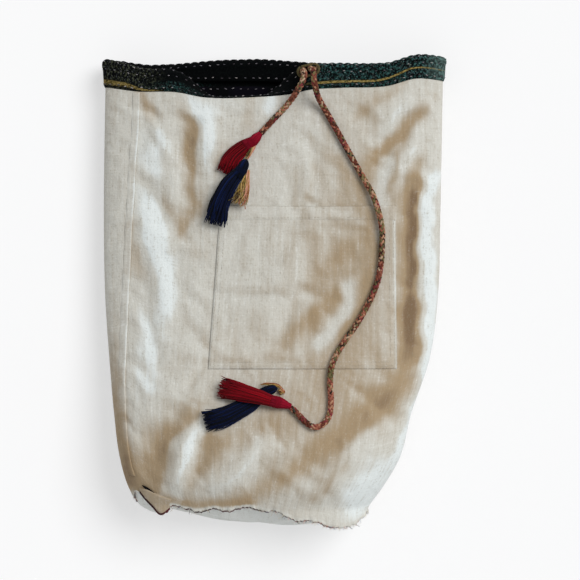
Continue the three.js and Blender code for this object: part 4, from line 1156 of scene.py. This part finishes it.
casing_columns = 460
casing_share = np.arange(casing_columns) / casing_columns
c_point, c_up, c_out, _, c_front, c_roll = rim_frame(turns_from_back(casing_columns))
arc = np.radians(np.linspace(215, -35, 26))
bulge = tunnel_radius + casing_thickness
section = np.array(
    [(5.0, -5.3), (7.0, -5.5), (9.0, -5.75), (11.5, -5.9)]
    + [(tunnel_rise + bulge * np.sin(a), tunnel_depth + bulge * np.cos(a)) for a in arc]
    + [(11.0, 2.2), (8.0, 1.95), (5.0, 1.8), (3.0, 1.65), (1.6, 1.4), (0.5, 1.0), (-0.4, 0.35)]
)
section_length = line_lengths(section)
pucker = np.abs(np.sin(np.pi * casing_share * mouth_girth / 7.67)) ** 0.8 - 0.6
wander = sum(np.sin(2 * np.pi * k * casing_share + dice.uniform(0, 6.28)) / k**0.5 for k in (7, 13, 23, 31)) * 0.16
top_weight = np.exp(-(((section[:, 0] - 22.5) / 4.5) ** 2))
top_line = np.interp(
    c_point[:, 0], [-168, -147, -137, -122, -112, -94, -75, -56, -37, -13, 15, 44, 72, 120, 165],
    [3.4, 3.0, 1.0, -1.0, -1.2, -0.5, 1.0, 2.4, 3.2, 3.4, 2.4, 1.5, 0.0, -1.0, 0.0],
) * (1 - c_roll / (np.pi / 2)) * (1 - np.exp(-(((c_point[:, 0] - 34) / 16) ** 2)) * c_front)
casing_grid = np.zeros((len(section), casing_columns, 3))
for row, (rise, depth) in enumerate(section):
    lift = top_weight[row] * (1.3 * pucker + wander * 1.4) + smooth(8, 22, rise) * top_line
    fullness = (0.4 + 0.6 * np.sin(np.pi * row / (len(section) - 1))) * (1.0 if depth > -1.5 else -0.6)
    swell = (0.35 * pucker + wander) * fullness
    casing_grid[row] = c_point + c_up * (rise + lift)[:, None] + c_out * (depth + swell)[:, None]
casing_outs = grid_normals(casing_grid)
casing_faces, casing_corners = grid_faces(len(section), casing_columns)

# The slot that lets the cord out of the casing
slot_middle, slot_across, slot_out = np.array([
    (33.697, 209.117, 49.435), (0.955, 0.228, 0.189), (-0.195, 0.001, 0.981),
])
slot_up = np.cross(slot_out, slot_across)
slot_half, slot_radius, slot_edge = 5.3, 4.2, 0.75
slot_turn = 0.19821643829345703
middles = casing_grid.reshape(-1, 3)[casing_faces].mean(axis=1) - slot_middle
beside = np.maximum(np.abs(middles @ slot_across) - slot_half, 0)
in_slot = (np.hypot(beside, middles @ slot_up) < slot_radius - 0.1) & (middles @ slot_out > 1.0)
v_place = (section_length[-1] - section_length)[casing_corners[..., 0]]
casing_uv = np.stack([casing_corners[..., 1] / casing_columns * mouth_girth, v_place], axis=-1) * MM
cx = casing_grid[..., 0]
outer = np.broadcast_to(smooth(-3.5, 0.5, section[:, 1])[:, None], cx.shape)
stripe_places = [-160, -142, -124, -110, 20, 60, 100, 119, 131, 165]
stripe_heights = [5.4, 5.2, 1.5, 0.9, 5.8, 6.0, 6.4, 9.0, 10.6, 10.4]
stripe_halves = [2.9, 2.4, 1.3, 1.0, 1.3, 1.3, 1.2, 1.2, 0.9, 0.6]
casing = piece(
    "rim_casing_cloth", casing_grid, [casing_faces[~in_slot]], casing_cloth, ("rim_casing",),
    uv=casing_uv[~in_slot],
    masks={
        "outer": outer, "right": smooth(24, 46, cx), "left": 1 - smooth(-128, -100, cx),
        "teal": np.exp(-(((cx + 92) / 20) ** 2)), "faded": smooth(138, 166, cx) * outer,
        "gold_height": np.interp(cx, stripe_places, stripe_heights) * MM,
        "gold_half": np.interp(cx, stripe_places, stripe_halves) * MM,
        "gold_amount": 0.75 * (1 - smooth(-118, -104, cx)) + smooth(26, 44, cx) * (1 - 0.5 * smooth(140, 160, cx)),
    },
)
thicken(casing, 0.9)
edge_dyes = dyes_of("#1d2422", "#2a3431", "#161b1c")
for name, rows, *sizes in (
    ("casing_running_stitches", [1.5, 8, 15, 22, 29, 33], 5.11, 2.1, 0.46, running_dyes),
    ("casing_edge_stitches", [len(section) - 4], 2.3, 2.6, 0.26, edge_dyes),
):
    grid_stitches(name, casing_grid, casing_outs, rows, *sizes)

spin = np.linspace(0, 2 * np.pi, 89)[:-1]
corner_side = np.sign(np.cos(spin)) * np.minimum(1, np.abs(np.cos(spin)) * 3)
across, up = slot_across * np.cos(spin)[:, None], slot_up * np.sin(spin)[:, None]
edge_radius = slot_radius + slot_edge
ring_spot = slot_across * (corner_side * slot_half)[:, None] + slot_across * (edge_radius * np.cos(spin))[:, None]
ring_spot = ring_spot + slot_up * (edge_radius * np.sin(spin))[:, None]
ring_way = unit(across + up)
straight = np.linspace(-slot_half, slot_half, 19)
for side in (-1, 1):
    ring_spot = np.vstack([ring_spot, slot_across * straight[:, None] + slot_up * side * edge_radius])
    ring_way = np.vstack([ring_way, np.tile(slot_up * side, (19, 1))])
ring_middle = slot_middle + slot_out * 5.55 + ring_spot
stitches(
    "buttonhole_stitches", ring_middle, ring_way, np.tile(slot_out, (len(ring_middle), 1)), 2.3, 0.42,
    dyes_of("#5c5236")[0] * dice.uniform(0.7, 1.2, len(ring_middle))[:, None], ("cord_buttonhole",),
)

r_point, r_up, r_out = rim_frame(slot_turn + np.linspace(0.022, 0.978, 120))[:3]
ends = [[slot_middle + slot_across * a + slot_out * b for a, b in pair] for pair in (
    ((-3.7, 6.2), (-5.4, 2.0)), ((5.4, 2.0), (3.7, 6.2)),
)]
run_path, run_length = curve_through(
    np.vstack([ends[0], r_point + r_up * tunnel_rise + r_out * tunnel_depth, ends[1]]), 1.6
)
points, run_faces, dyes = braid(run_path, run_length / (len(run_path) - 1), [(0.5, "rust"), (1.0, "olive")])
piece("cord_in_casing", points, run_faces, cord_yarn, ("casing_cord_run",), dye=dyes)

pocket_top, pocket_bottom = (-51.5, 115.5, 80.0), (-62.5, 116.5, -75.0)
pocket_width, pocket_height = 170, 155
hem_depth, hem_start = 14 / pocket_height, -0.004
pocket_creases = [
    (13, (84, 60, 0), (62, 30, -1.6), (20, -20, -1.8), (-8, -52, 0)),
    (12, (104, 30, 0), (78, -8, 1.0), (40, -50, 1.0), (24, -70, 0)),
    (10, (40, 66, 0), (20, 34, 1.2), (-14, -14, 1.2), (-40, -46, 0)),
    (8, (-20, 64, 0), (-24, 30, -0.9), (-36, -4, 0)),
]


def pocket_place(across, down):
    """Place on the front of a share across and a share down the pocket, its top edge sagging a little."""
    left, right = (pocket_top[k] + (pocket_bottom[k] - pocket_top[k]) * down for k in (0, 1))
    y = pocket_top[2] + (pocket_bottom[2] - pocket_top[2]) * down
    return left + (right - left) * across, y - 1.2 * np.sin(np.pi * across) * (down < 0.02)


def slack_here(x, y):
    return 2.4 * (1 - np.minimum(1, np.hypot(x - 10, y - 2.5) / 68) ** 2) ** 2


def near_edge(across, down, width, reach, top=0.0, bottom=1.0):
    """1 at the edges of a share of the pocket, falling to 0 within a reach in millimetres."""
    beside = np.minimum(across, 1 - across) * width
    return 1 - smooth(0, reach, np.minimum(beside, np.minimum(down - top, bottom - down) * pocket_height))


def pocket_cloth(name, x, y, rise, rows, top, height, node, thickness, shading_paint=0.0):
    """A cloth on the front from a grid of places, its weave lined up with the pocket."""
    points, outs = on_front(x, y, rise)
    faces, corners = grid_faces(rows, pocket_columns, closed=False)
    row, column = corners[..., 0] / (rows - 1), corners[..., 1] / (pocket_columns - 1)
    uv = np.stack([column * 0.172 + 0.31, top - row * height], axis=-1)
    obj = piece(
        name, points, [faces[:, ::-1]], canvas_linen, (node,), uv=uv[:, ::-1],
        # painted shading of the front carried onto the pocket, plus the given extra shading paint
        masks={"tan": painted_light_mask(x, y, 0 * x, outs) + shading_paint},
    )
    thicken(obj, thickness)
    return obj


pocket_columns, pocket_rows, hem_rows = 96, 88, 12
across, down = np.meshgrid(np.linspace(0, 1, pocket_columns), np.linspace(0, 1, pocket_rows))
px, py = pocket_place(across, down)
swell = fold_height(px, py, pocket_creases) * np.sin(np.pi * across) ** 0.5 * np.sin(np.pi * np.clip(down, 0, 1)) ** 0.5
full, hollow = np.minimum(swell, 0.2 + 2.2 * free_of_cords(px, py)), np.maximum(swell, -0.5 - slack_here(px, py))
pocket_rise = 1.15 + slack_here(px, py) + np.where(swell > 0, full, hollow)
pocket_rise = pocket_rise - 0.6 * near_edge(across, down, pocket_width, 1.2)
pocket_rise = pocket_rise - 0.42 * (1 - smooth(0, 6, (1 - down) * pocket_height))
pocket = pocket_cloth(
    "patch_pocket", px, py, pocket_rise, pocket_rows, 0.28, 0.155, "pocket_panel", 0.9,
    # painted highlight: the pocket is paler and cooler within 2.5 mm of its right edge, where it turns to the light
    -0.8 * (1 - smooth(0.5, 2.5, (1 - across) * pocket_width)),
)
across, down = np.meshgrid(np.linspace(0.002, 0.998, pocket_columns), np.linspace(hem_start, hem_depth, hem_rows))
hem_rise = 1.5 - np.interp(down, [0, 0.04, 0.09], [0.0, 0.0, 0.18])
hem_rise = hem_rise - 0.3 * near_edge(across, down, pocket_width - 3, 1.2, hem_start, hem_depth)
hem = pocket_cloth(
    "pocket_hem_fold", *pocket_place(across, down), hem_rise, hem_rows, 0.30, 0.014, "pocket_hem", 0.25,
)
linen_thread = dyes_of("#c4bfb2", "#b5ad9c", "#cfccc2", "#aca28e")


def sewn_line(name, spots, outs, pitch=2.9, length=2.2, radius=0.17):
    """Machine stitches along a line of points over the cloth."""
    lengths = line_lengths(spots)
    goal = np.arange(pitch / 2, lengths[-1], pitch)
    way = unit(follow(goal + 1, lengths, spots) - follow(goal - 1, lengths, spots))
    shades = picked(linen_thread, len(goal), 0.85, 1.08)
    stitches(name, follow(goal, lengths, spots), way, unit(follow(goal, lengths, outs)), length, radius, shades)


for number, (inset, rise) in enumerate([(2.2, 3.0), (6.0, 6.8)]):
    inset, rise = inset / pocket_width, rise / pocket_height
    share = np.linspace(0.02, 1 - rise, 70)
    level = np.linspace(inset, 1 - inset, 80)
    a = np.concatenate([np.full(70, inset), level, np.full(70, 1 - inset)])
    d = np.concatenate([share, np.full(80, 1 - rise), share[::-1]])
    last_column, last_row = pocket_columns - 1, pocket_rows - 1
    column, row = (np.clip(np.round(v * last).astype(int), 0, last) for v, last in ((a, last_column), (d, last_row)))
    sewn_line(f"pocket_edge_stitches_{number + 1}", *on_front(*pocket_place(a, d), pocket_rise[row, column] + 0.12))
a = np.linspace(0.02, 0.98, 80)
sewn_line("pocket_hem_stitches", *on_front(*pocket_place(a, np.full(80, 11.5 / pocket_height)), 1.5))

seam_line = [
    (-131.5, 189), (-132.6, 153), (-134.9, 123.5), (-136.8, 87), (-138.7, 59), (-139.9, 29), (-141.8, -8.5),
    (-143.4, -53), (-144.4, -80), (-143.4, -114), (-141.4, -142), (-138.4, -162), (-134.4, -176),
]
seam_path, _ = curve_through([(x, y, 0) for x, y in seam_line], 2.0)
beside = np.array([-4.8, -2.8, -1.2, 0.6, 2.2, 2.9, 3.1])
height = np.array([-0.9, 0.0, 0.12, 0.3, 0.6, 0.5, -0.1])
# painted highlight on the seam's ridge and painted shade just right of it, on its part above y -90
ridge_light_and_shade = np.array([0, 0, 0, 0, -0.3, -0.3, 0.5])
sx = seam_path[:, 0][:, None] + beside[None]
sy = np.broadcast_to(seam_path[:, 1][:, None], sx.shape)
seam_points, seam_outs = on_front(sx, sy, height[None] + 0.15 * np.sin(sy / 4.0))
seam_faces, seam_corners = grid_faces(len(seam_path), len(beside), closed=False)
seam_strip = piece(
    "felled_side_seam", seam_points, [seam_faces], canvas_linen, ("side_seam",),
    uv=np.stack([seam_corners[..., 1] * 0.001 + 0.1, 0.4 - seam_corners[..., 0] * 0.002], axis=-1),
    masks={"tan": painted_light_mask(sx, sy, 0 * sx, seam_outs) + ridge_light_and_shade * (sy > -90)},
)
thicken(seam_strip, 0.5)
for number, (offset, rise) in enumerate(((-1.9, 0.12), (2.0, 0.62))):
    spots = on_front(seam_path[:, 0] + offset, seam_path[:, 1], rise)
    sewn_line(f"side_seam_stitches_{number + 1}", *spots, 3.0)

base_columns = 220
base_turns = turns_from_back(base_columns)
base_end = wall_end(base_turns)[0]


base_sag = 15.5


def base_disc(name, inset, push, finish, node):
    """A round cloth inside the wall's end, tipped and sagging towards its middle."""
    point, _, _, outward = wall_frame(base_turns, base_end + push)
    edge = point - outward * inset
    middle = edge.mean(axis=0)
    grid = []
    for share in np.concatenate([np.linspace(1, 0.1, 26), [0.04]]):
        ring = middle + (edge - middle) * share
        ring[:, 1] -= base_sag * (1 - share**2.2)
        ring[:, 1] += 0.7 * np.sin(ring[:, 0] / 11.0 + ring[:, 2] / 17.0) * (1 - share)
        grid.append(ring)
    grid = np.array(grid)
    disc_faces, _ = grid_faces(len(grid), base_columns)
    flat_place = grid[..., [0, 2]].reshape(-1, 2) * MM
    last = np.arange(base_columns) + (len(grid) - 1) * base_columns
    obj = piece(
        name, grid, [disc_faces, last[None]], finish, (node,),
        uv=np.vstack([flat_place[disc_faces].reshape(-1, 2), flat_place[last]]),
        # painted shade: warmer towards the base's left, the side away from the light
        masks={"tan": np.clip(0.1 - grid[..., 0] / 900, 0, 0.3)},
    )
    thicken(obj, 1.1)
    return obj


base = base_disc("round_base", 1.4, 0.4, painted_lit_base_linen, "base_panel")
base_inner = base_disc("round_base_lining", 3.2, 3.4, lining_cloth, "base_lining")

fray_columns = 760
fray_turns = turns_from_back(fray_columns)
f_end, f_fray, f_front = wall_end(fray_turns)
circle = 2 * np.pi * np.arange(fray_columns) / fray_columns


def ripple(waves, strength):
    return sum(np.sin(k * circle + dice.uniform(0, 6.28)) * dice.uniform(0.5, 1.0) for k in waves) * strength


ragged = ripple((37, 59, 97, 151), 0.28)
f_x = wall_point(fray_turns, f_end)[:, 0]
dark_part = (1 - 0.45 * smooth(-14, 10, f_x) - 0.55 * smooth(48, 72, f_x)) * smooth(-126, -117, f_x) * f_front
waves = ripple((19, 31, 47, 73), 0.8)
f_point, f_mouth, _, f_out = wall_frame(fray_turns, f_end)


def above_seam(past, offset):
    """A row on the settled canvas, a little above its seam with the base."""
    row = []
    for start, out in zip((f_point + f_mouth * past) * MM, f_out):
        hit = ground.ray_cast(Vector(start + out * 0.012), Vector(-out))[0]
        row.append((start if hit is None else np.array(hit)) / MM + out * offset)
    return np.array(row)


def raw_edge(name, depth, reach, finish, replaces=(), above=()):
    """A strip of raw cloth that stands on past the base seam, wavy and ragged at its end."""
    grid, past_rows = [above_seam(past, offset) for past, offset in above], [past for past, _ in above]
    shares = np.concatenate([np.zeros(len(above)), np.linspace(0, 1, 9)])
    for share in shares[len(above):]:
        past = (f_fray - reach + ragged - f_end) * share
        past_rows.append(past)
        grid.append(f_point + f_mouth * past[:, None] + f_out * (depth + waves * share**2)[:, None])
    grid = np.array(grid)
    past_rows = np.stack([np.broadcast_to(row, fray_columns) for row in past_rows])
    strip_faces, strip_corners = grid_faces(len(shares), fray_columns)
    # painted shading of the front, carried onto the strip's first rows
    shading_paint = painted_light_mask(grid[..., 0], grid[..., 1], 0 * grid[..., 0], front_normal(grid[..., 0], grid[..., 1]))
    down = past_rows[strip_corners[..., 0], strip_corners[..., 1] % fray_columns]
    obj = piece(
        name, grid, [strip_faces], finish, replaces,
        uv=np.stack([strip_corners[..., 1] / fray_columns * mouth_girth, down], axis=-1) * MM,
        masks={"tan": shading_paint * f_front * (1 - smooth(0.4, 0.85, shares))[:, None]},
    )
    thicken(obj, 0.6)
    return obj, grid


outer_edge, outer_grid = raw_edge(
    "raw_edge_canvas", 0.1, 0.0, canvas_linen, ("base_seam_allowance",),
    ((5.0, -0.3), (3.4, -0.04), (2.2, 0.05), (1.0, 0.08)),
)
lining_edge, lining_grid = raw_edge("raw_edge_lining", -0.75, 1.7 * dark_part, raw_lining)
base_edge, _ = raw_edge("raw_edge_base", -1.7, 0.0, painted_lit_base_linen)


def corner_patch(name, upper, lower, heights, finish, slot, tan, thickness):
    """A small piece of cloth between two lines at the folded corner, at heights over the front."""
    rows, columns = 8, 24
    steps, down = np.linspace(0, 1, columns), np.linspace(0, 1, rows)
    lines = (curve_through([(x, y, 0) for x, y in line], 1.0)[0][:, :2] for line in (upper, lower))
    first, second = (follow(steps, np.linspace(0, 1, len(line)), line) for line in lines)
    flat = first[None] + (second - first)[None] * down[:, None, None]
    first_rise, second_rise = (np.interp(steps, np.linspace(0, 1, len(rises)), rises) for rises in heights)
    level = front_height(flat[..., 0], np.maximum(flat[..., 1], -203.0))
    level = level + first_rise + (second_rise - first_rise) * (down**1.6)[:, None]
    grid = np.concatenate([flat, level[..., None]], axis=-1)
    patch_faces = grid_faces(rows, columns, closed=False)[0][:, ::-1]
    obj = piece(
        name, grid, [patch_faces], finish, uv=flat.reshape(-1, 2)[patch_faces].reshape(-1, 2) * MM,
        masks={"tan": np.full(flat.shape[:2], tan)},
    )
    thicken(obj, thickness)
    return obj


flap_top = [(-127.5, -187.5), (-120.2, -188.8), (-112.1, -192.0), (-104.0, -195.0), (-97.0, -197.5)]
flap_edge = [(-126.8, -190.2), (-121.0, -197.2), (-114.4, -204.0), (-107.0, -211.0), (-98.5, -205.5)]
lining_line = [(-127.8, -191.8), (-122.2, -199.0), (-115.4, -205.8), (-107.2, -213.0), (-98.0, -207.3)]
slit_top = [(-124.6, -184.4), (-120.0, -186.2), (-113.0, -191.2)]
slit_edge = [(-124.8, -184.8), (-120.4, -189.0), (-112.6, -191.8)]
base_top = [(-131.5, -184.5), (-127.4, -191.6), (-118.6, -201.0), (-107.0, -210.0)]
base_low = [(-138.6, -187.5), (-137.2, -195.5), (-132.0, -202.6), (-118.0, -210.4), (-109.0, -212.4)]
# The seventh value of each row is its painted shading: painted shade on the corner flap. The corner slit is a
# near-black lining sheet laid over the canvas, a painted shadow of the gap under the flap, with the dark lining inside
# it.
flap, flap_lining, slit_shadow_sheet, base_corner = (corner_patch(*row) for row in (
    ("corner_flap", flap_top, flap_edge, ((1.6, 2.0, 1.2, 0.3, 0.3), (1.8, 2.4, 2.4, 1.8, 0.6)),
     canvas_linen, "canvas", 0.7, 0.9),
    ("corner_flap_lining", flap_edge, lining_line, ((0.8, 1.3, 1.3, 0.9, 0.2), (0.4, 0.8, 0.8, 0.5, 0.0)),
     raw_lining, "lining", 0.0, 0.7),
    ("corner_slit_shadow", slit_top, slit_edge, ((1.0, 1.0), (0.8, 0.8)), lining_cloth, "lining", 0.0, 0.3),
    ("base_corner", base_top, base_low, ((-2.0, -2.0), (-11.0, -13.0)), painted_lit_base_linen, "canvas", 0.1, 0.9),
))

fray_dyes = dyes_of(
    "#dcd8cf", "#e6e2d6", "#eceae4", "#d8c4b4", "#cf9a90", "#8d94a0", "#4a4040", "#d6ccb4", "#ecebe6", "#e2dfd6"
)
count = 900
over_floor = 0.4
lowest_thread = -230.0
spots = dice.integers(0, fray_columns, count)
spots = spots[dice.uniform(0, 1, count) < 0.35 + 0.65 * smooth(-26, -6, f_x[spots]) * f_front[spots]]
count = len(spots)
layer = dice.integers(0, 2, count)
starts = np.where(layer[:, None] == 0, outer_grid[-2][spots], lining_grid[-2][spots])
_, fray_mouth, fray_around, fray_out = wall_frame(fray_turns[spots], f_end[spots])
reach = dice.uniform(1.6, 4.2, count)[:, None] * (1 + (dice.uniform(0, 1, count)[:, None] > 0.94) * 1.0)
lean = dice.normal(0, 0.55, count)[:, None]
rise = dice.uniform(-0.5, 0.35, count)[:, None]
way = unit(-fray_mouth + fray_around * lean + fray_out * rise)
steps = np.linspace(0, 1, 5)[None, :, None]
curl = dice.normal(0, 0.5, (count, 1, 1)) * reach[:, None]
fray_paths = starts[:, None] + way[:, None] * (steps * reach[:, None]) + fray_around[:, None] * curl * steps**2
fray_paths[..., 2] = np.maximum(fray_paths[..., 2], over_floor)
fray_paths[..., 1] = np.maximum(fray_paths[..., 1], lowest_thread)
points, fray_faces, owner = threads(fray_paths, 0.17, 4, fray_out[:, None])
dye = fray_dyes[dice.integers(0, len(fray_dyes), count)][owner]
piece("loose_fray_threads", points, fray_faces, sewing_thread, dye=dye)


strap_outline = [
    (-14, 2.5), (-13.6, 2.1), (-12, 2.0), (12, 2.0), (13.6, 2.1), (14, 2.5),
    (14, 3.3), (13.6, 3.7), (12, 3.8), (-12, 3.8), (-13.6, 3.7), (-14, 3.3),
]


def strap(name, bottom, way, level, length, steps=120):
    """A flat woven strap under the bag, closed at both ends."""
    rows, sides = np.linspace(0, length, steps), len(strap_outline)
    grid = np.array([[(*(bottom + way * row + level * a), h) for a, h in strap_outline] for row in rows])
    strap_faces, strap_corners = grid_faces(steps, sides)
    girth = line_lengths(np.array(strap_outline + strap_outline[:1])) * MM
    uv = np.stack([girth[strap_corners[..., 1]], rows[strap_corners[..., 0]] * MM], axis=-1)
    caps = np.array([np.arange(sides)[::-1], np.arange(sides) + (steps - 1) * sides])
    uv = np.vstack([uv.reshape(-1, 2), np.tile(np.column_stack([girth[:sides], np.zeros(sides)]), (2, 1))])
    obj = piece(
        f"{name}_webbing_strap", grid, [strap_faces[:, ::-1], caps[:, ::-1]], strap_webbing,
        (f"{name}_shoulder_strap",), uv=uv,
    )
    length * MM


def block(name, size, place, angle, finish, node, body, opening=None, edge=0.6):
    """A flat block with rounded edges, and an opening right through it along the strap where it has one."""
    bpy.ops.mesh.primitive_cube_add(size=1.0, location=(0, 0, 0))
    obj = bpy.context.object
    obj.name = name
    obj.scale = [v * MM for v in size]
    bpy.ops.object.transform_apply(location=False, rotation=False, scale=True)
    if opening:
        bpy.ops.object.mode_set(mode="EDIT")
        bpy.ops.mesh.select_mode(type="FACE")
        bpy.ops.mesh.select_all(action="DESELECT")
        bpy.ops.object.mode_set(mode="OBJECT")
        for face in obj.data.polygons:
            face.select = abs(face.normal.y) > 0.9
        bpy.ops.object.mode_set(mode="EDIT")
        bpy.ops.mesh.inset(thickness=0.8 * MM, use_individual=True)
        bpy.ops.object.mode_set(mode="OBJECT")
        for face in obj.data.polygons:
            if face.select:
                for index in face.vertices:
                    vertex = obj.data.vertices[index]
                    vertex.co.x = np.sign(vertex.co.x) * opening[0] * MM / 2
                    vertex.co.z = (opening[2] if vertex.co.z > 0 else opening[1]) * MM
        bpy.ops.object.mode_set(mode="EDIT")
        bpy.ops.mesh.bridge_edge_loops()
        bpy.ops.object.mode_set(mode="OBJECT")
    obj.rotation_euler.z = angle
    obj.location = [v * MM for v in place]
    bpy.ops.object.transform_apply(location=True, rotation=True, scale=False)
    obj.select_set(False)
    apply_modifier(obj, "BEVEL", width=edge * MM, segments=3, limit_method="ANGLE")
    obj.data.materials.append(finish.material)
    obj.data.shade_smooth()
    apply_modifier(obj, "WEIGHTED_NORMAL", keep_sharp=True)
    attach(obj, body)
    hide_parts(node)
    return obj


def patch_stitches(name, corners, steps):
    """Machine stitches round a leather patch, on its lower face."""
    path = np.array([[x, y, 0.42] for x, y in corners + corners[:1]])
    shares = np.linspace(0, 1, steps, endpoint=False)[:, None]
    dense = np.vstack([a + (b - a) * shares for a, b in zip(path[:-1], path[1:])] + [path[-1:]])
    sewn_line(name, dense, np.tile([0, 0, -1.0], (len(dense), 1)), 3.6, 2.8, 0.3)


slot_in_block = (28.6, -1.2, 1.2)
buckle_place = 1 - 0.62
for side, name in ((-1, "left"), (1, "right")):
    top, bottom = np.array([side * 22.0, 176.0]), np.array([-19.0 + side * 72.0, -184.0])
    length = np.linalg.norm(top - bottom)
    way = (top - bottom) / length
    level = np.array([way[1], -way[0]])
    angle = float(np.arctan2(way[1], way[0]) - np.pi / 2)
    strap(name, bottom, way, level, length)
    at = bottom + way * length * buckle_place
    block(
        f"{name}_slide_loop", (36.0, 16.0, 5.4), (*at, 2.9), angle, buckle_brass,
        f"{name}_slide_buckle", f"{name}_buckle", slot_in_block, 0.5,
    )
    block(
        f"{name}_leather_tab", (44.0, 30.0, 5.8), (*bottom, 2.9), angle, patch_leather,
        f"{name}_base_tab", "bag", slot_in_block, 0.9,
    )
    walk = [(-19.4, -12.4), (19.4, -12.4), (19.4, 12.4), (-19.4, 12.4)]
    patch_stitches(f"{name}_tab_stitches", [tuple(bottom + level * a + way * b) for a, b in walk], 20)
block(
    "leather_anchor", (96.0, 34.0, 5.8), (0, 177.0, 2.9), 0.0, patch_leather,
    "strap_anchor_patch", "bag", None, 0.9,
)
patch_stitches("anchor_stitches", [(-45, 163), (45, 163), (45, 191), (-45, 191)], 30)
